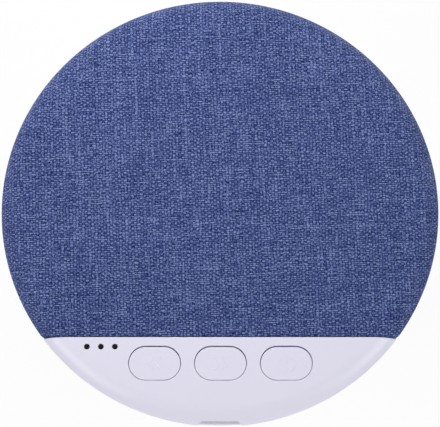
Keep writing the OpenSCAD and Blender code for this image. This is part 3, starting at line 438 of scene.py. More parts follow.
def soft_corners(corners, r, steps):
    """Points of a convex outline, anticlockwise, with round corners; each has its outward direction."""
    found = []
    for k, corner in enumerate(corners):
        here = Vector(corner)
        before = (here - Vector(corners[k - 1])).normalized()
        after = (Vector(corners[(k + 1) % len(corners)]) - here).normalized()
        first = math.atan2(-before.x, before.y)
        turn = math.acos(max(-1, min(1, before.dot(after))))
        centre = here - before * r * math.tan(turn / 2) + Vector((-before.y, before.x)) * r
        for a in span(first, first + turn, steps):
            n = (math.cos(a), math.sin(a))
            found.append(((centre.x + r * n[0], centre.y + r * n[1]), n))
    return found


def rounded(x, y, length, width, r, steps):
    """Points of a rectangle with round corners, each with its outward direction."""
    sides = [(1, -1), (1, 1), (-1, 1), (-1, -1)]
    return soft_corners([(x + sx * length / 2, y + sy * width / 2) for sx, sy in sides], r, steps)


def moved(outline, offset=0):
    """The bare points of an outline, moved outwards by an offset."""
    return [(p[0] + n[0] * offset, p[1] + n[1] * offset) for p, n in outline]


def at_height(z):
    return lambda x, y: (x, y, z)


def at_depth(y):
    return lambda x, z: (x, y, z)


def level(points, z):
    return [(*p, z) for p in points]


def turned(profile, angles, y=0):
    """Rows of a surface turned round an upright axis; profile holds radii and heights."""
    return [[(rho * math.sin(a), y + rho * math.cos(a), z) for a in angles] for rho, z in profile]


def angles_of(row):
    return [math.atan2(p[0], p[1]) for p in row]


def from_above(row):
    return [p[:2] for p in row]


def end_face(rows):
    """The outline through both ends of a turned surface's rows, seen as x across and z up."""
    return [(row[0][0], row[0][2]) for row in reversed(rows)] + [(row[-1][0], row[-1][2]) for row in rows]


def on_circle(r, degrees, y=0):
    """Places at the given angles on a circle round the upright axis, or round one at y."""
    return [(r * math.cos(a), y + r * math.sin(a)) for a in map(math.radians, degrees)]


def inside(points, loops):
    """Which points lie inside the outlines, by the even-odd rule."""
    x, y = points[:, 0], points[:, 1]
    odd = np.zeros(len(points), bool)
    for loop in loops:
        a = np.array(loop, float)
        for (x0, y0), (x1, y1) in zip(a, np.roll(a, -1, axis=0)):
            if y0 == y1:
                continue
            crosses = (y0 > y) != (y1 > y)
            odd ^= crosses & (x < x0 + (y - y0) * (x1 - x0) / (y1 - y0))
    return odd


def clear_of(points, loops, gap):
    """Those of the points that lie inside the outlines and farther than a gap from each."""
    points = np.array(points)
    points = points[inside(points, loops)]
    borders = np.array([p for loop in loops for p in loop])
    far = np.sqrt(((points[:, None, :] - borders[None, :, :]) ** 2).sum(axis=2)).min(axis=1)
    return [tuple(p) for p in points[far > gap]]


class Shell:
    """The points and faces of a piece; flat holds each point's place on the piece's flat map."""

    def __init__(self):
        self.points = []
        self.flat = []
        self.faces = []

    def grid(self, rows, closed=False, flat=None, gap=None):
        """Quads between rows of points. gap is a block of rows and columns that is left open."""
        start = len(self.points)
        count = len(rows[0])
        for r, row in enumerate(rows):
            self.points.extend(row)
            self.flat.extend(flat[r] if flat else [(0, 0)] * count)
        for i in range(len(rows) - 1):
            for j in range(count if closed else count - 1):
                if gap and gap[0] <= i < gap[1] and gap[2] <= j < gap[3]:
                    continue
                k = (j + 1) % count
                a = start + i * count
                self.faces.append((a + j, a + k, a + count + k, a + count + j))

    def fill(self, loops, place, extra=(), flat=None):
        """Triangles inside flat outlines, holes left open; place turns a flat point into a real one."""
        given = [p for loop in loops for p in loop]
        edges = []
        first = 0
        for loop in loops:
            edges += [(first + i, first + (i + 1) % len(loop)) for i in range(len(loop))]
            first += len(loop)
        made = delaunay_2d_cdt([Vector(p) for p in [*given, *extra]], edges, [], 0, 1e-7)
        points = np.array([tuple(p) for p in made[0]])
        middles = np.array([points[list(f)].mean(axis=0) for f in made[2]])
        start = len(self.points)
        self.points.extend(place(p[0], p[1]) for p in points)
        self.flat.extend([flat(p[0], p[1]) if flat else (0, 0) for p in points])
        for face, kept in zip(made[2], inside(middles, loops)):
            if kept:
                self.faces.append(tuple(start + i for i in face))

    def rim(self, outline, radius, place, inward, end):
        """A rounded edge round a hole, then its wall as far as end; returns its outline on the skin."""
        inward = Vector(inward)
        on_skin = moved(outline, radius + HOLE_MARGIN)
        rows = [[place(*p) for p in on_skin]]
        for t in span(0, math.pi / 2, 5):
            ring = moved(outline, radius * (1 - math.sin(t)))
            rows.append([tuple(Vector(place(*p)) + inward * radius * (1 - math.cos(t))) for p in ring])
        rows.append([end(*p) for p in moved(outline)])
        self.grid(rows, closed=True)
        return on_skin

    def walls(self, points, heights):
        self.grid([level(points, z) for z in heights], closed=True)

    def slab(self, points, heights):
        """A flat block that is closed at both of its heights."""
        self.walls(points, heights)
        for z in heights:
            self.fill([points], at_height(z))

    def finish(self, name, body, slot, stands_for, uv=None):
        """Makes the object: points merged, faces outwards, in metres."""
        mesh = bpy.data.meshes.new(name)
        mesh.from_pydata([tuple(c * MM for c in p) for p in self.points], [], self.faces)
        if uv:
            layer = mesh.uv_layers.new(name=uv)
            for loop in mesh.loops:
                layer.data[loop.index].uv = [c * MM for c in self.flat[loop.vertex_index]]
        tidy = bmesh.new()
        tidy.from_mesh(mesh)
        bmesh.ops.remove_doubles(tidy, verts=tidy.verts, dist=MERGE)
        bmesh.ops.dissolve_degenerate(tidy, edges=tidy.edges, dist=1e-7)
        bmesh.ops.recalc_face_normals(tidy, faces=tidy.faces)
        tidy.to_mesh(mesh)
        tidy.free()
        return put(name, mesh, body, slot, stands_for)


def put(name, mesh, body, slot, stands_for):
    """Links a piece, smooths it, gives it its body and finish, and hides the nodes it stands for.

    A piece that bends between two bodies is given none.
    """
    mesh.materials.clear()
    mesh.materials.append(FINISH[slot])
    piece = bpy.data.objects.new(name, mesh)
    bpy.context.scene.collection.objects.link(piece)
    for face in mesh.polygons:
        face.use_smooth = True
    mesh.set_sharp_from_angle(angle=SMOOTH_BELOW)
    if body:
        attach(piece, body)
    if stands_for:
        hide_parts(*stands_for)
    return piece


def cut_rows(profile, plane, side, columns, radius=0.0, fade_z=None):
    """Rows of a turned surface that ends at the plane y = -plane, where its edge may be rounded.

    profile holds radius, height, outward direction and, where the flat map needs it, the unrolled radius.
    side is 1 behind the plane and -1 before it. The rounding fades away just above the height fade_z.
    Returns the rows, their places on the flat map, and how many points of a row lie in the edge.
    """
    near = [radius * (1 - math.sin(t)) for t in span(math.pi / 2, 0, 5)] if radius else [0]
    if radius:
        near.append(radius + EDGE_MARGIN)
    rows = []
    flats = []
    for rho, z, n_rho, n_z, *unrolled in profile:
        ends = [math.acos(max(-1, min(1, (d - side * plane) / rho))) for d in near]
        middle = span(ends[-1], -ends[-1], columns)[1:-1]
        fade = 1 if fade_z is None else max(0, min(1, (z - fade_z) / EDGE_FADE))
        row = []
        flat = []
        reach = unrolled[0] if unrolled else rho
        for a in [*ends, *middle, *[-e for e in reversed(ends)]]:
            x, y = rho * math.sin(a), side * rho * math.cos(a)
            d = min(radius, side * (y + plane))
            drop = radius - math.sqrt(max(0, radius ** 2 - (radius - d) ** 2))
            lean = Vector((n_rho * math.sin(a), 0, n_z)).normalized() * drop * fade
            row.append((x - lean.x, y, z - lean.z))
            flat.append((reach * math.sin(a), side * reach * math.cos(a)))
        rows.append(row)
        flats.append(flat)
    return rows, flats, len(near)


def across(row, near):
    """Rows of the rounded edge across the flat face, between the two ends of the first turned row."""
    return [[row[k], row[-1 - k]] for k in range(near)]


# ---------------------------------------------------------------- upper case
BUTTON_XS = (-14.69, 0.11, 14.91)
BUTTON_Y = -36.14
BUTTON_L = 11.45
BUTTON_W = 7.4
# the caps are CAP_GROW larger than their solids; the gap round each is BUTTON_GAP at its ends and LONG_GAP
# wider along its long sides, of which the one behind gains GAP_LEAN and the one in front loses it
CAP_GROW = 0.07
BUTTON_GAP = 0.13
GAP_LEAN = 0.095
LONG_GAP = 0.075
DOT_XS = (-29.95, -26.8, -23.65)
DOT_Y = -32.3
DOT_D = 1.2
DOT_GAP = 0.05
PANEL_EDGE_R = 0.2
BUTTON_EDGE_R = 0.1
DOT_EDGE_R = 0.08
# the charging port: length, height and corner of its recess and of the socket's hole behind it, how deep
# each goes, and the reach of the skin round it that is made of triangles
PORT_Z = 30.5
PORT_SIZE = (9.4, 3.7, 1.2)
SOCKET_HOLE = (7.7, 2.65, 0.35)
PORT_EDGE_R = 0.22
PORT_FLOOR_Y = -48.3
POCKET_Y = -47.8
PORT_BLOCK_X = 6.2
PORT_BLOCK_Z = 33.0
# inner faces: the straight wall under the panel's edge, the corner between the side and the panel, and
# the edge of the deck's underside
WALL_Y = 31.1
CORNER_RHO = 45.5
CORNER_Z = 29.5
CORNER_R = 2.5
DECK_EDGE_Y = 30.3
DECK_FOOT = ((45.3, RING_Z, 1, 0), (44.8, DECK_UNDER_Z, 1, 0))
PIN_CIRCLE = 41.5
PIN_HOLE_R = 1.25
PIN_ANGLES = (22, 90, 158, 212, 328)
SPEAKER_Y = 6.0
SPEAKER_OPEN_R = 25.2
# bosses: radius, lower end, the screw hole's radius and its end
PILOT_R = 1.3
BOARD_BOSS = (1.8, 29.3, 0.85, 31.4)
BOARD_BOSS_ROOT_Z = UNDER_PANEL_Z + 0.02
CASE_BOSS = (2.6, 16.0, PILOT_R, 21.6)
CASE_SCREWS = [(x, y) for x in (-25.96, 25.96) for y in (-26.5, 26.5)]
BOARD_SCREWS = [(-23.5, -37), (-9.5, -43), (23.5, -37), (9.5, -43)]

case = Shell()
panel_s = [SKIN_START, *span(0, SHOULDER_END_S, 14), *span(SHOULDER_END_S, RIM_END_S, 9)[1:],
           *span(RIM_END_S, skin_s(LEDGE_Z), 3)[1:]]
panel_rows, _, near = cut_rows([skin_at(s) for s in panel_s], EDGE_Y, -1, 150, PANEL_EDGE_R, LEDGE_Z)
case.grid(across(panel_rows[0], near))

# the side wall under the panel and behind it, the seam's rounded edge and the lap inside it
seam_top = SEAM_Z + SEAM_GAP
side_heights = (29.6, 29.0, 28.3, 27.7)
ring_profile = [(side_rho(z), z) for z in side_heights]
ring_profile += [(side_rho(seam_top) - SEAM_EDGE_R * (1 - math.cos(t)),
                  seam_top + SEAM_EDGE_R * (1 - math.sin(t))) for t in span(0, math.pi / 2, 4)]
ring_profile += [(side_rho(seam_top) - LAP_W, seam_top), (side_rho(RING_Z) - LAP_W, RING_Z)]
ledge_rows = cut_rows([(side_rho(LEDGE_Z), LEDGE_Z, 1, 0), (DECK_RHO, LEDGE_Z, 1, 0)], EDGE_Y, 1, 200)[0]
front_rows = panel_rows + turned(ring_profile, angles_of(panel_rows[-1]))
front_s = panel_s + [skin_s(z) for z in side_heights]
back_rows = [ledge_rows[0]] + turned(ring_profile, angles_of(ledge_rows[0]))
case.grid(back_rows)
case.grid(ledge_rows)

# charging port: a rounded recess through the rim, seen as x across and z up
port_outline = rounded(0, PORT_Z, *PORT_SIZE, 12)
hole_loop = moved(rounded(0, PORT_Z, *SOCKET_HOLE, 4))


def on_skin(x, s):
    """The skin's front point at x, at the distance s along the outline."""
    rho, z = skin_at(s)[:2]
    return (x, -math.sqrt(rho * rho - x * x), z)


row_a = max(i for i, s in enumerate(front_s) if skin_at(s)[1] > PORT_BLOCK_Z)
row_b = len(panel_rows) + 3
column_a = min(j for j, p in enumerate(front_rows[row_a]) if abs(p[0]) < PORT_BLOCK_X)
column_b = len(front_rows[0]) - 1 - column_a
case.grid(front_rows, gap=(row_a, row_b, column_a, column_b))
way_round = [(row_a, j) for j in range(column_a, column_b)]
way_round += [(i, column_b) for i in range(row_a, row_b)]
way_round += [(row_b, j) for j in range(column_b, column_a, -1)]
way_round += [(i, column_a) for i in range(row_b, row_a, -1)]
port_rim = case.rim(port_outline, PORT_EDGE_R, lambda x, z: on_skin(x, skin_s(z)), (0, 1, 0),
                    at_depth(PORT_FLOOR_Y))
port_loops = [[(front_rows[i][j][0], front_s[i]) for i, j in way_round],
              [(x, skin_s(z)) for x, z in port_rim]]


def lattice(low, high, step):
    """Points spread evenly over a block."""
    xs, ys = [np.linspace(a, b, max(2, int((b - a) / step))) for a, b in zip(low, high)]
    return [(x, y) for x in xs for y in ys]


spread = lattice((-6, front_s[row_a] + 0.15), (6, front_s[row_b] - 0.15), 0.3)
case.fill(port_loops, on_skin, clear_of(spread, port_loops, 0.16))
case.fill([moved(port_outline), hole_loop], at_depth(PORT_FLOOR_Y))

# inner wall of the panel, with the socket's hole through it
inner_profile = [(side_rho(z) - WALL, z) for z in (RING_Z, DECK_UNDER_Z)]
inner_arc = [(CORNER_RHO + CORNER_R * math.sin(t), CORNER_Z + CORNER_R * math.cos(t))
             for t in span(math.pi / 2, 0, 8)]
inner_high = cut_rows([(*p, 1, 0) for p in [inner_profile[1], *inner_arc]], WALL_Y, -1, 96)[0]
inner_ends = cut_rows([(*p, 1, 0) for p in inner_profile], DECK_EDGE_Y, -1, 1)[0]
inner_low = [[ends[0], *middle, ends[-1]] for ends, middle in
             zip(inner_ends, turned(inner_profile, angles_of(inner_high[0])))]
case.grid(inner_low)
case.grid(inner_high)
case.grid([[(x, y, z) for x, z in hole_loop] for y in (PORT_FLOOR_Y, POCKET_Y)], closed=True)
case.fill([hole_loop], at_depth(POCKET_Y))


def stadium(x, gap, lean=0.0, long=0.0):
    """Outline of a button, or of its hole, whose gap is widest behind the button and narrowest in front."""
    found = []
    for p, n in rounded(x, BUTTON_Y, BUTTON_L, BUTTON_W, BUTTON_W / 2 - 0.001, 24):
        grow = gap + lean * n[1] + long * n[1] ** 2
        found.append(((p[0] + n[0] * grow, p[1] + n[1] * grow), n))
    return found


# flat face of the panel, with rounded holes for the buttons and the indicator dots
top_loops = [from_above(panel_rows[0][near - 1:len(panel_rows[0]) - near + 1])]
under_loops = [from_above(inner_high[-1])]
panel_holes = [(stadium(x, CAP_GROW + BUTTON_GAP, GAP_LEAN, LONG_GAP), BUTTON_EDGE_R) for x in BUTTON_XS]
panel_holes += [(circle(x, DOT_Y, DOT_D / 2 + DOT_GAP, 48), DOT_EDGE_R) for x in DOT_XS]
for hole, edge_r in panel_holes:
    top_loops.append(case.rim(hole, edge_r, at_height(TOP_Z), (0, 0, -1), at_height(UNDER_PANEL_Z)))
    under_loops.append(moved(hole))
case.fill(top_loops, at_height(TOP_Z))


def boss(shell, x, y, top, shape):
    """A post under a flat face, with its screw hole; returns the outline that the face leaves open."""
    r, bottom, pilot_r, pilot_top = shape
    post, pilot = [moved(circle(x, y, size, 32)) for size in (r, pilot_r)]
    shell.grid([level(post, top), level(post, bottom), level(pilot, bottom), level(pilot, pilot_top)],
               closed=True)
    shell.fill([pilot], at_height(pilot_top))
    return post


# the board's bosses reach a hair into the panel
for x, y in BOARD_SCREWS:
    case.fill([boss(case, x, y, BOARD_BOSS_ROOT_Z, BOARD_BOSS)], at_height(BOARD_BOSS_ROOT_Z))
case.fill(under_loops, at_height(UNDER_PANEL_Z))

# wall under the panel's straight edge: its outer face, its inner face and what joins them to the deck
deck_x = math.sqrt(DECK_RHO ** 2 - EDGE_Y ** 2)
deck_end = [(-deck_x, LEDGE_Z), (-deck_x, DECK_TOP_Z), (deck_x, DECK_TOP_Z), (deck_x, LEDGE_Z)]
case.fill([end_face(panel_rows) + deck_end], at_depth(-EDGE_Y))
case.fill([end_face(inner_high[::-1])], at_depth(-WALL_Y))

# the deck that carries the loudspeaker and the grille
deck_edge = turned([(DECK_RHO, DECK_TOP_Z)], angles_of(ledge_rows[1]))[0]
case.grid([ledge_rows[1], deck_edge])
deck_rows = cut_rows(DECK_FOOT, DECK_EDGE_Y, 1, 150)[0]
case.grid(deck_rows)
for end in (0, -1):
    case.grid([[deck_rows[1][end], inner_low[1][end]], [deck_rows[0][end], inner_low[0][end]]])
deck_loops = [moved(circle(0, SPEAKER_Y, SPEAKER_OPEN_R, 128))]
deck_loops += [moved(circle(x, y, PIN_HOLE_R, 24)) for x, y in on_circle(PIN_CIRCLE, PIN_ANGLES)]
for loop in deck_loops:
    case.walls(loop, (DECK_TOP_Z, DECK_UNDER_Z))
case.fill([from_above(deck_edge), *deck_loops], at_height(DECK_TOP_Z))
for x, y in CASE_SCREWS:
    deck_loops.append(boss(case, x, y, DECK_UNDER_Z, CASE_BOSS))
deck_under = deck_rows[1] + [inner_low[1][-1], inner_high[0][-1], inner_high[0][0], inner_low[1][0]]
case.fill([from_above(deck_under), *deck_loops], at_height(DECK_UNDER_Z))
ring_outer = front_rows[-1] + back_rows[-1][-2:0:-1]
ring_inner = inner_low[0] + deck_rows[0][::-1]
case.fill([from_above(ring_outer), from_above(ring_inner)], at_height(RING_Z))
case.finish("upper_case_shell", "case", "white_shell", ["upper_case"])

# ---------------------------------------------------------------- base shell
# the curved edge of the underside: its centre's radius and height, and its own radius; a ring just
# inside it, where the flat part is given points too
BASE_ARC = (35.2, 10.5, 9.0)
FLAT_RING = 34.9
# heights on the side where it is given points
SIDE_ZS = (24, 17)
# angles on that edge, in degrees: where the side meets it, and inside which the underside and the floor
# above it are made of triangles
SIDE_TURN = 75
UNDER_TURN = 40
FLOOR_TURN = 60
FEET = [(29.5, 0), (0, 29.5), (-29.5, 0), (0, -29.5)]
# recesses in the underside for the feet, the screws and the plate: the outline's size, then the radius
# of the rounded edge and the height that the recess ends at
FOOT_HOLE_R = 5.0
FOOT_HOLE = (0.15, 2.0)
SCREW_HOLE_R = 2.4
SCREW_HOLE_EDGE_R = 0.22
LABEL = (32, 18, 2)
LABEL_HOLE = (0.12, 1.8)
SEAT_Z = 7.0
POST_R = 3.8
POST_TOP_Z = 16.0
# the fence round the cell: each rib's place and size, for one quarter
FENCE = ((25.9, 14, 1.2, 6), (19, 17.9, 6, 1.2))
FENCE_ZS = (3.49, 6.49)
TURNS = [2 * math.pi * i / 216 for i in range(216)]
base = Shell()


def base_z(rho, inset):
    """Height of the underside, or of the floor above it, at a distance from the middle."""
    c_rho, c_z, r = BASE_ARC
    out = max(0, rho - c_rho)
    return c_z - math.sqrt((r - inset) ** 2 - out * out)


def base_arc(inset, start, end, steps):
    c_rho, c_z, r = BASE_ARC
    return [(c_rho + (r - inset) * math.sin(t), c_z - (r - inset) * math.cos(t))
            for t in span(math.radians(start), math.radians(end), steps)]


seam_edge = [(side_rho(SEAM_Z) - SEAM_EDGE_R * (1 - math.sin(t)), SEAM_Z - SEAM_EDGE_R * (1 - math.cos(t)))
             for t in span(0, math.pi / 2, 4)]
outer_turn = [*seam_edge, *[(side_rho(z), z) for z in SIDE_ZS], *base_arc(0, SIDE_TURN, UNDER_TURN, 9)]
inner_turn = [*base_arc(WALL, FLOOR_TURN, SIDE_TURN, 4),
              *[(side_rho(z) - WALL, z) for z in (SIDE_ZS[-1], LAP_TOP_Z)],
              *[(side_rho(z) - WALL + LAP_W, z) for z in (LAP_TOP_Z, SEAM_Z)], seam_edge[0]]
base.grid(turned(outer_turn, TURNS), closed=True)
base.grid(turned(inner_turn, TURNS), closed=True)


def dome_points(inset, degrees, loops):
    """Points on rings round the curved edge, clear of the holes through it."""
    rings = [rho for rho, _ in base_arc(inset, 0, degrees, int(degrees / 5))] + [FLAT_RING]
    spots = [(rho * math.sin(a), rho * math.cos(a)) for rho in rings for a in TURNS[::2]]
    return clear_of(spots, loops, 0.35)


def under(x, y):
    return (x, y, base_z(math.hypot(x, y), 0))


def floor(x, y):
    return (x, y, base_z(math.hypot(x, y), WALL))


under_loops = [from_above(turned(outer_turn[-1:], TURNS)[0])]
floor_loops = [from_above(turned(inner_turn[:1], TURNS)[0])]


def recess(outline, edge_r, top):
    """A blind recess in the underside."""
    under_loops.append(base.rim(outline, edge_r, under, UP, at_height(top)))
    base.fill([moved(outline)], at_height(top))


for x, y in FEET:
    recess(circle(x, y, FOOT_HOLE_R, 72), *FOOT_HOLE)
for x, y in CASE_SCREWS:
    hole = circle(x, y, SCREW_HOLE_R, 48)
    under_loops.append(base.rim(hole, SCREW_HOLE_EDGE_R, under, UP, at_height(SEAT_Z)))
    pilot, post = [moved(circle(x, y, r, 48)) for r in (PILOT_R, POST_R)]
    base.grid([level(moved(hole), SEAT_Z), level(pilot, SEAT_Z), level(pilot, POST_TOP_Z),
               level(post, POST_TOP_Z), [floor(*p) for p in post]], closed=True)
    floor_loops.append(post)
recess(rounded(0, 0, *LABEL, 8), *LABEL_HOLE)
base.fill(under_loops, under, dome_points(0, UNDER_TURN - 2, under_loops))
base.fill(floor_loops, floor, dome_points(WALL, FLOOR_TURN - 3, floor_loops))
for sx in (-1, 1):
    for sy in (-1, 1):
        for x, y, length, width in FENCE:
            base.slab(moved(rounded(sx * x, sy * y, length, width, 0.3, 4)), FENCE_ZS)
base.finish("base_shell_moulding", "case", "white_shell", ["base_shell"])

# ---------------------------------------------------------------- buttons
# the raised signs: width, height, how round the back is, how deep they start, and the least number that
# the width is divided by at a bend
SIGN_WIDE = 0.5
SIGN_HIGH = 0.06
SIGN_ROUND = 0.7
SIGN_FOOT = 0.05
MITRE = 0.5
# an arrow head reaches this far back, forward and to each side of its place; the places of the two
ARROW_BACK = 1.0
ARROW_TIP = 0.35
ARROW_SIDE = 1.35
ARROW_PLACES = (-0.35, 1.25)
# the power sign: the ring's radius, its drop below the middle, half its gap in radians, its bar
RING_R = 1.75
RING_DROP = 0.15
RING_HALF_GAP = 0.65
BAR_TOP = 2.0
BAR_END = 0.1
CAP_EDGE_R = 0.25
# the cap's foot: how far it stands out, and its upper and lower height; then the peg under it
CAP_FOOT = 0.8
CAP_FOOT_ZS = (31.95, 31.35)
PEG_R = 1.0
PEG_END_Z = 31.18


def ridge(shell, path):
    """A raised line with a rounded back, drawn on the button's face."""
    rows = []
    for k, p in enumerate(path):
        here = Vector(p)
        after = Vector(path[k + 1]) - here if k < len(path) - 1 else here - Vector(path[k - 1])
        before = here - Vector(path[k - 1]) if k > 0 else after
        before.normalize()
        after.normalize()
        n = Vector((-before.y - after.y, before.x + after.x)).normalized()
        n /= max(MITRE, n.dot(Vector((-after.y, after.x))))
        row = []
        for t in span(0, math.pi, 6):
            place = here + n * SIGN_WIDE / 2 * math.cos(t)
            row.append((place.x, place.y, TOP_Z + SIGN_HIGH * math.sin(t) ** SIGN_ROUND))
        for t in (-1, 1):
            place = here + n * SIGN_WIDE / 2 * t
            row.append((place.x, place.y, TOP_Z - SIGN_FOOT))
        rows.append(row)
    shell.grid(rows, closed=True)
    for row in (rows[0], rows[-1]):
        start = len(shell.points)
        shell.points.extend(row)
        shell.flat.extend([(0, 0)] * len(row))
        shell.faces.append(tuple(range(start, start + len(row))))


def chevrons(x, way):
    """Two arrow heads that point along x."""
    return [[(x + way * (c - ARROW_BACK), BUTTON_Y + ARROW_SIDE), (x + way * (c + ARROW_TIP), BUTTON_Y),
             (x + way * (c - ARROW_BACK), BUTTON_Y - ARROW_SIDE)] for c in ARROW_PLACES]


def power_sign(x):
    """An open ring with a bar in its gap."""
    ring = [(x + RING_R * math.sin(a), BUTTON_Y - RING_DROP + RING_R * math.cos(a))
            for a in span(RING_HALF_GAP, 2 * math.pi - RING_HALF_GAP, 40)]
    return [ring, [(x, BUTTON_Y + BAR_TOP), (x, BUTTON_Y + BAR_END)]]


def button(name, x, body, signs):
    shell = Shell()
    outline = stadium(x, CAP_GROW)
    r = CAP_EDGE_R
    face = moved(outline, -r - EDGE_MARGIN)
    foot = moved(outline, CAP_FOOT)
    foot_top, foot_end = CAP_FOOT_ZS
    rows = [level(face, TOP_Z)]
    rows += [level(moved(outline, -r * (1 - math.sin(t))), TOP_Z - r * (1 - math.cos(t)))
             for t in span(0, math.pi / 2, 7)]
    rows += [level(moved(outline), foot_top), level(foot, foot_top), level(foot, foot_end)]
    shell.grid(rows, closed=True)
    shell.fill([face], at_height(TOP_Z))
    peg = moved(circle(x, BUTTON_Y, PEG_R, 32))
    shell.fill([foot, peg], at_height(foot_end))
    shell.walls(peg, (foot_end, PEG_END_Z))
    shell.fill([peg], at_height(PEG_END_Z))
    for path in signs:
        ridge(shell, path)
    shell.finish(name + "_button_cap", body, "white_key", [name + "_button"])


button("back", BUTTON_XS[0], "back_key", chevrons(BUTTON_XS[0], -1))
button("forward", BUTTON_XS[1], "forward_key", chevrons(BUTTON_XS[1], 1))
button("power", BUTTON_XS[2], "power_key", power_sign(BUTTON_XS[2]))

# ---------------------------------------------------------------- indicator light pipes
# a domed end and a straight stem down to the board's lights, as offsets from the outline and heights, and
# a bar that holds the three together
PIPE = ((-0.599, 34.0), (-0.4, 33.99), (-0.2, 33.96), (-0.1, 33.93), (-0.03, 33.88), (0, 33.8), (0, 30.18))
PIPE_BAR = (8.7, 1.8, 0.3)
PIPE_BAR_ZS = (32.0, 31.2)
pipes = Shell()
for x in DOT_XS:
    outline = circle(x, DOT_Y, DOT_D / 2, 40)
    rows = [level(moved(outline, offset), z) for offset, z in PIPE]
    pipes.grid(rows, closed=True)
    for row in (rows[0], rows[-1]):
        pipes.fill([from_above(row)], at_height(row[0][2]))
pipes.slab(moved(rounded(DOT_XS[1], DOT_Y, *PIPE_BAR, 5)), PIPE_BAR_ZS)
pipes.finish("indicator_light_pipes", "case", "smoked_lens", ["indicator_lens"])

# ---------------------------------------------------------------- charging socket
USB_BACK_Y = -43.3
USB_SHEET = 0.3
USB_CORNERS = [(2.85, -1.225), (3.75, -0.325), (3.75, 1.225),
               (-3.75, 1.225), (-3.75, -0.325), (-2.85, -1.225)]
# the drawn sheet is straight as far as the recess's floor, and its mouth is flared before it: how far
# each row lies outside the outline, and how far behind the floor
FLARE = ((0, 0.05), (0.03, -0.1), (0.14, -0.28), (0.3, -0.42), (0.33, -0.5), (0.26, -0.56), (0.1, -0.5),
         (-0.1, -0.3), (-0.24, -0.1), (-USB_SHEET, 0.1))
usb = Shell()
usb_outline = [((p[0], p[1] + PORT_Z), n) for p, n in soft_corners(USB_CORNERS, 0.4, 6)]
usb_profile = [(0, USB_BACK_Y), *[(out, PORT_FLOOR_Y + behind) for out, behind in FLARE],
               (-USB_SHEET, USB_BACK_Y - USB_SHEET)]
usb_rows = [[(x, y, z) for x, z in moved(usb_outline, out)] for out, y in usb_profile]
usb.grid(usb_rows, closed=True)
for row in (usb_rows[0], usb_rows[-1]):
    usb.fill([[(p[0], p[2]) for p in row]], at_depth(row[0][1]))
usb.finish("charging_socket_shell", "case", "plated_steel", ["usb_socket"])

# ---------------------------------------------------------------- loudspeaker's surround
# A rubber roll. Its outer lip lies on the basket, its web comes down round the cone's edge and its inner
# lip is glued under the cone, so it bends between the two as the cone moves.
ROLL_RHO = 23.0
ROLL_FOOT_Z = 28.88
ROLL_WIDE = 1.95
ROLL_HIGH = 2.19
SURROUND_T = 0.35
OUTER_LIP = (24.6, 25.2, 0.4)
# the lip glued to the cone: the height it leaves the web at, then inwards over its upper side and back
# under it
GLUE_Z = 28.33
GLUE_LIP = ((20.25, 28.33), (18.6, 27.69), (18.55, 27.515), (18.72, 27.34), (20.35, 27.98))


def roll(inset, start, end, steps):
    return [(ROLL_RHO + (ROLL_WIDE - inset) * math.cos(t), ROLL_FOOT_Z + (ROLL_HIGH - inset) * math.sin(t))
            for t in span(start, end, steps)]


web = span(ROLL_FOOT_Z, GLUE_Z, 6)[1:-1]
inner = ROLL_RHO - ROLL_WIDE
lip_start, lip_end, lip_high = OUTER_LIP
section = [(lip_start, ROLL_FOOT_Z), (lip_end, ROLL_FOOT_Z), (lip_end, ROLL_FOOT_Z + lip_high)]
section += roll(0, math.asin(lip_high / ROLL_HIGH), math.pi, 24)
section += [(inner, z) for z in web]
section += [(inner, GLUE_Z), *GLUE_LIP]
section += [(inner + SURROUND_T * math.sin(t), GLUE_Z - SURROUND_T * math.cos(t))
            for t in span(0, math.pi / 2, 5)]
section += [(inner + SURROUND_T, z) for z in reversed(web)]
section += roll(SURROUND_T, math.pi, 0, 24)
surround = Shell()
surround.grid(turned(section, span(0, 2 * math.pi, 160)[:-1], SPEAKER_Y), closed=True)
surround_roll = surround.finish("surround_roll", None, "surround_rubber", ["cone_surround"])
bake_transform(surround_roll)

# ---------------------------------------------------------------- pieces that repeat
AROUND = 48


def sized_tree(name, sizes):
    """A Geometry Nodes tree with named sizes in metres; returns it and its given sockets."""
    tree = bpy.data.node_groups.new(name, "GeometryNodeTree")
    tree.interface.new_socket("Geometry", in_out="INPUT", socket_type="NodeSocketGeometry")
    for size in sizes:
        tree.interface.new_socket(size, in_out="INPUT", socket_type="NodeSocketFloat")
    tree.interface.new_socket("Geometry", in_out="OUTPUT", socket_type="NodeSocketGeometry")
    return tree, add(tree, "NodeGroupInput").outputs


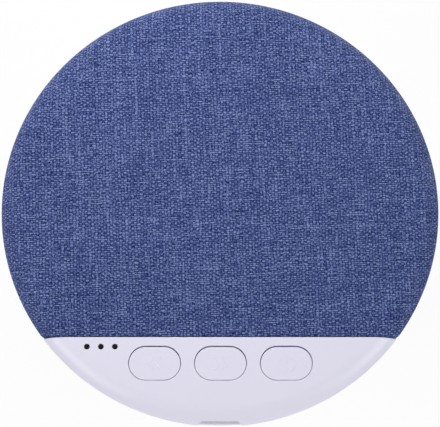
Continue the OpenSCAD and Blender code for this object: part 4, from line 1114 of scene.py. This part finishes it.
def turned_body(tree, shape, radius, height):
    """A closed turned body; shape holds shares of its radius and height from pole to pole."""
    steps = len(shape) - 1
    sheet = add(tree, "GeometryNodeMeshGrid",
                {"Size X": 1.0, "Size Y": 1.0, "Vertices X": steps + 1, "Vertices Y": AROUND + 1})
    at = add(tree, "SeparateXYZ", {0: add(tree, "GeometryNodeInputPosition")})
    along = add(tree, "Math", {0: at.outputs["X"], 1: 0.5}, operation="ADD")
    turn = add(tree, "Math", {0: at.outputs["Y"], 1: -2 * math.pi}, operation="MULTIPLY")
    drawn = []
    for which, size in ((0, radius), (1, height)):
        line = add(tree, "FloatCurve", {"Value": along})
        points = line.mapping.curves[0].points
        points[0].location = (0, shape[0][which])
        points[1].location = (1, shape[-1][which])
        for k in range(1, steps):
            points.new(k / steps, shape[k][which])
        for point in points:
            point.handle_type = "VECTOR"
        line.mapping.update()
        drawn.append(add(tree, "Math", {0: line, 1: size}, operation="MULTIPLY"))
    waves = [add(tree, "Math", {0: turn}, operation=wave) for wave in ("COSINE", "SINE")]
    x, y = [add(tree, "Math", {0: drawn[0], 1: wave}, operation="MULTIPLY") for wave in waves]
    place = add(tree, "CombineXYZ", {"X": x, "Y": y, "Z": drawn[1]})
    turned_sheet = add(tree, "GeometryNodeSetPosition", {"Geometry": sheet, "Position": place})
    return add(tree, "GeometryNodeMergeByDistance", {"Geometry": turned_sheet, "Distance": MERGE})


def set_out(tree, given, body, finish, most_turn=math.pi / 2):
    """Ends a tree: the body at every given point, turned by up to most_turn, made real, with its finish."""
    each = {"Points": given["Geometry"], "Instance": body}
    if most_turn:
        each["Rotation"] = add(tree, "FunctionNodeRandomValue", {
            "Min": (0, 0, 0), "Max": (0, 0, most_turn), "Seed": 7}, data_type="FLOAT_VECTOR")
    copies = add(tree, "GeometryNodeInstanceOnPoints", each)
    real = add(tree, "GeometryNodeRealizeInstances", {"Geometry": copies})
    done = add(tree, "GeometryNodeSetMaterial", {"Geometry": real, "Material": finish})
    add(tree, "NodeGroupOutput", {"Geometry": done})


def built(name, tree, places, sizes, slot, stands_for):
    """Runs a tree on points in millimetres and keeps the result as a plain mesh."""
    spots = bpy.data.meshes.new(name + "_places")
    spots.from_pydata([tuple(c * MM for c in place) for place in places], [], [])
    maker = bpy.data.objects.new(name + "_maker", spots)
    bpy.context.scene.collection.objects.link(maker)
    step = maker.modifiers.new("built", "NODES")
    step.node_group = tree
    for socket in tree.interface.items_tree:
        if socket.in_out == "INPUT" and socket.name in sizes:
            step[socket.identifier] = sizes[socket.name] * MM
    ready = maker.evaluated_get(bpy.context.evaluated_depsgraph_get())
    mesh = bpy.data.meshes.new_from_object(ready)
    bpy.data.objects.remove(maker)
    mesh.name = name
    put(name, mesh, "case", slot, stands_for)


# A pan-head screw: a domed head with a cross recess, a tapered core and one winding of thread round it.
# The head's face is at the point and the shank runs up from it.
PAN_HEAD = [(0, 0), (0.3, 0), (0.5, 0.01), (0.64, 0.035), (0.74, 0.08), (0.82, 0.14), (0.88, 0.21),
            (0.93, 0.3), (0.965, 0.4), (0.99, 0.52), (1, 0.65), (1, 0.8), (0.99, 0.93), (0.96, 1),
            (0.7, 1), (0.4, 1), (0, 1)]
SCREW_SIZES = ("Head radius", "Head height", "Shank radius", "Shank length", "Thread pitch")
# the screw's smaller features, each as a share of one of those sizes
SCREW_SHARES = {"blade long": ("Head radius", 1.15), "blade wide": ("Head radius", 0.24),
                "blade deep": ("Head height", 1.2), "core": ("Shank radius", 0.76),
                "tip": ("Shank radius", 0.4), "ridge": ("Shank radius", 0.16),
                "wound": ("Shank length", 0.86)}
screw_tree, given = sized_tree("pan_head_screw", SCREW_SIZES)
share = {name: add(screw_tree, "Math", {0: given[size], 1: part}, operation="MULTIPLY")
         for name, (size, part) in SCREW_SHARES.items()}
head = turned_body(screw_tree, PAN_HEAD, given["Head radius"], given["Head height"])
for x, y in (("blade long", "blade wide"), ("blade wide", "blade long")):
    blade = add(screw_tree, "CombineXYZ", {"X": share[x], "Y": share[y], "Z": share["blade deep"]})
    blade = add(screw_tree, "GeometryNodeMeshCube", {"Size": blade})
    head = add(screw_tree, "GeometryNodeMeshBoolean", {"Mesh 1": head, "Mesh 2": blade},
               operation="DIFFERENCE", solver="EXACT")
core = add(screw_tree, "GeometryNodeMeshCone", {
    "Vertices": 24, "Radius Top": share["tip"], "Radius Bottom": share["core"],
    "Depth": given["Shank length"]})
winds = add(screw_tree, "Math", {0: share["wound"], 1: given["Thread pitch"]}, operation="DIVIDE")
thread_line = add(screw_tree, "GeometryNodeCurveSpiral", {
    "Resolution": 20, "Rotations": winds, "Start Radius": share["core"], "End Radius": share["core"],
    "Height": share["wound"]})
thread_shape = add(screw_tree, "GeometryNodeCurvePrimitiveCircle", {
    "Resolution": 4, "Radius": share["ridge"]})
thread = add(screw_tree, "GeometryNodeCurveToMesh", {
    "Curve": thread_line, "Profile Curve": thread_shape, "Fill Caps": True})
shank = add(screw_tree, "GeometryNodeJoinGeometry", {"Geometry": [core, thread]})
up = add(screw_tree, "CombineXYZ", {"Z": given["Head height"]})
shank = add(screw_tree, "GeometryNodeTransform", {"Geometry": shank, "Translation": up})
whole = add(screw_tree, "GeometryNodeJoinGeometry", {"Geometry": [shank, head]})
set_out(screw_tree, given, whole, FINISH["screw_steel"])

CASE_SCREW = dict(zip(SCREW_SIZES, (2.3, 1.6, 1.25, 14, 1.1)))
SMALL_SCREW = dict(zip(SCREW_SIZES, (1.5, 0.9, 0.8, 3.4, 0.7)))
BOARD_HEAD_Z = 27.175
BASKET_HEAD_Z = 27.18
SPEAKER_SCREW_R = 26.7
speaker_screws = on_circle(SPEAKER_SCREW_R, (45, 135, 225, 315), SPEAKER_Y)
for place, spots, head_z, sizes, node in (
        ("case", CASE_SCREWS, SEAT_Z - CASE_SCREW["Head height"], CASE_SCREW, "case_screws"),
        ("board", BOARD_SCREWS, BOARD_HEAD_Z, SMALL_SCREW, "pcb_screws"),
        ("basket", speaker_screws, BASKET_HEAD_Z, SMALL_SCREW, "speaker_screws")):
    built(place + "_screws_cross_recess", screw_tree, level(spots, head_z), sizes, "screw_steel", [node])

# A moulded foot: a flat sole with a gate dimple in its middle, a round edge and a side that widens
# into its recess.
FOOT_R = 4.95
FOOT_H = 2.0
SOLE_R = 4.2
SOLE_EDGE_R = 0.6
FOOT = [(0, 0.07), (0.08, 0.07), (0.12, 0.04), (0.15, 0), (0.5, 0), (0.848, 0)]
FOOT += [((SOLE_R + SOLE_EDGE_R * math.sin(t)) / FOOT_R, (SOLE_EDGE_R - SOLE_EDGE_R * math.cos(t)) / FOOT_H)
         for t in span(0, math.pi / 2, 6)[1:]]
FOOT += [(0.985, 0.5), (1, 0.75), (1, 1), (0.5, 1), (0, 1)]
foot_tree, given = sized_tree("moulded_foot", ("Radius", "Height"))
foot = turned_body(foot_tree, FOOT, given["Radius"], given["Height"])
set_out(foot_tree, given, foot, FINISH["foot_rubber"])
built("moulded_feet", foot_tree, level(FEET, 0), {"Radius": FOOT_R, "Height": FOOT_H},
      "foot_rubber", ["rubber_feet"])

# Five flat spring contacts in a row under the charging socket's tongue.
CONTACT = {"Width": 0.37, "Length": 2.2, "Thickness": 0.08}
CONTACT_STEP = 0.65
CONTACT_Y = -46.2
CONTACT_Z = 30.46
contact_tree, given = sized_tree("spring_contact", CONTACT)
strip = add(contact_tree, "CombineXYZ", {"X": given["Width"], "Y": given["Length"], "Z": given["Thickness"]})
strip = add(contact_tree, "GeometryNodeMeshCube", {"Size": strip})
set_out(contact_tree, given, strip, FINISH["plated_steel"], most_turn=0)
built("socket_contacts", contact_tree, [(CONTACT_STEP * k, CONTACT_Y, CONTACT_Z) for k in range(-2, 3)],
      CONTACT, "plated_steel", [])

# ---------------------------------------------------------------- grille cloth
# radius of the cloth's own rounded front edge, and how far its fall reaches past the deck's edge
CLOTH_EDGE_R = 0.8
FALL_OVER = 0.1
cloth = Shell()
cloth_s = [SKIN_START, *span(0, SHOULDER_END_S, 16), *span(SHOULDER_END_S, RIM_END_S, 8)[1:],
           *span(RIM_END_S, skin_s(HEM_Z + CLOTH_DROP), 2)[1:]]
cloth_profile = []
for s in cloth_s:
    rho, z, n_rho, n_z = skin_at(s)
    cloth_profile.append((rho, z - CLOTH_DROP, n_rho, n_z, SHOULDER_RHO + s))
cloth_rows, cloth_flats, near = cut_rows(cloth_profile, CLOTH_Y, 1, 260, CLOTH_EDGE_R)
cloth.grid(cloth_rows, flat=cloth_flats)
cloth.grid(across(cloth_rows[0], near), flat=across(cloth_flats[0], near))
top_row = cloth_rows[0][near - 1:len(cloth_rows[0]) - near + 1]
cloth.fill([from_above(top_row)], at_height(TOP_Z - CLOTH_DROP), flat=lambda x, y: (x, y))
fall_x = math.sqrt(DECK_RHO ** 2 - CLOTH_Y ** 2) + FALL_OVER
fall_z = DECK_TOP_Z + FALL_OVER
fall = end_face(cloth_rows) + [(-fall_x, HEM_Z), (-fall_x, fall_z), (fall_x, fall_z), (fall_x, HEM_Z)]
cloth.fill([fall], at_depth(-CLOTH_Y), flat=lambda x, z: (x, z - TOP_Z + CLOTH_DROP - CLOTH_Y))
grille_cloth = cloth.finish("grille_cloth_cover", "case", "linen_cloth", ["grille_cloth"], uv="threads")
thick = grille_cloth.modifiers.new("thickness", "SOLIDIFY")
thick.thickness = CLOTH_T * MM
thick.offset = -1
thick.use_rim = True

# ---------------------------------------------------------------- floor and light
WHITE = colour("#FFFFFF")
PAPER_SHARE = 0.93
FLOOR_Z = -0.03 * MM
FLOOR_REACH = 3
# strength of the room's light from the ceiling, what the walls add, and by how much of itself the right
# side is weaker and the left side stronger
CEILING_LIGHT = 0.26
WALL_LIGHT = 0.25
SIDE_LEAN = 0.06


def seen_white(tree):
    """1 where the camera looks at a surface, straight, in a mirror or through another one, and else 0."""
    path_of = add(tree, "LightPath").outputs
    either = add(tree, "Math", {0: path_of["Is Camera Ray"], 1: path_of["Is Glossy Ray"]},
                 operation="MAXIMUM")
    return add(tree, "Math", {0: either, 1: path_of["Is Transmission Ray"]}, operation="MAXIMUM")


# Matt white paper that the object stands on: plain white to the eye, with a faint soft shadow.
tree = material("paper_sweep", "matt white paper")
paper = add(tree, "BsdfDiffuse", {"Color": colour("#EAEAEA")})
seen = add(tree, "Emission", {"Color": WHITE, "Strength": 1.0})
share = add(tree, "Math", {0: seen_white(tree), 1: PAPER_SHARE}, operation="MULTIPLY")
shaded(tree, add(tree, "MixShader", {0: share, 1: paper, 2: seen}))
sweep = bpy.data.meshes.new("paper_sweep")
corners = [(x * FLOOR_REACH, y * FLOOR_REACH, FLOOR_Z) for x, y in ((-1, -1), (1, -1), (1, 1), (-1, 1))]
sweep.from_pydata(corners, [], [(0, 1, 2, 3)])
sweep.materials.append(FINISH["paper_sweep"])
paper_sweep = bpy.data.objects.new("paper_sweep", sweep)
bpy.context.scene.collection.objects.link(paper_sweep)
paper_sweep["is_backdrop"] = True

world = bpy.data.worlds.new("pale room")
bpy.context.scene.world = world
world.use_nodes = True
world.node_tree.nodes.clear()
tree = world.node_tree
# pale walls all round, brighter than the ceiling, and a little brighter on the left
way = add(tree, "SeparateXYZ", {0: add(tree, "TexCoord").outputs["Generated"]})
low = add(tree, "Math", {0: 1.0, 1: way.outputs["Z"]}, operation="SUBTRACT", use_clamp=True)
low = add(tree, "Math", {0: low, 1: 2.0}, operation="POWER")
wall = add(tree, "Math", {0: low, 1: WALL_LIGHT, 2: CEILING_LIGHT}, operation="MULTIPLY_ADD")
leftward = add(tree, "Math", {0: way.outputs["X"], 1: -SIDE_LEAN, 2: 1.0}, operation="MULTIPLY_ADD")
wall = add(tree, "Math", {0: wall, 1: leftward}, operation="MULTIPLY")
room = add(tree, "Background", {"Color": WHITE, "Strength": wall})
white = add(tree, "Background", {"Color": WHITE, "Strength": 1.0})
mixed = add(tree, "MixShader", {0: seen_white(tree), 1: room, 2: white})
add(tree, "OutputWorld", {"Surface": mixed})


def soft_box(name, place, size, power):
    """A square lamp that points at the object."""
    lamp = bpy.data.lights.new(name, "AREA")
    lamp.shape = "SQUARE"
    lamp.size = size
    lamp.energy = power
    made = bpy.data.objects.new(name, lamp)
    made.location = place
    made.rotation_euler = (FACE - Vector(place)).to_track_quat("-Z", "Y").to_euler()
    bpy.context.scene.collection.objects.link(made)


soft_box("soft_box_back", (-0.045, 0.15, 0.14), size=0.12, power=0.245)
soft_box("soft_box_left", (-0.76, -0.46, 0.60), size=0.6, power=5.0)
soft_box("soft_box_right", (0.83, -0.41, 0.58), size=0.6, power=5.4)

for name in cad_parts:
    for slot in bpy.data.objects[name].material_slots:
        slot.material = FINISH[slot.material.name]

low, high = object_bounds()
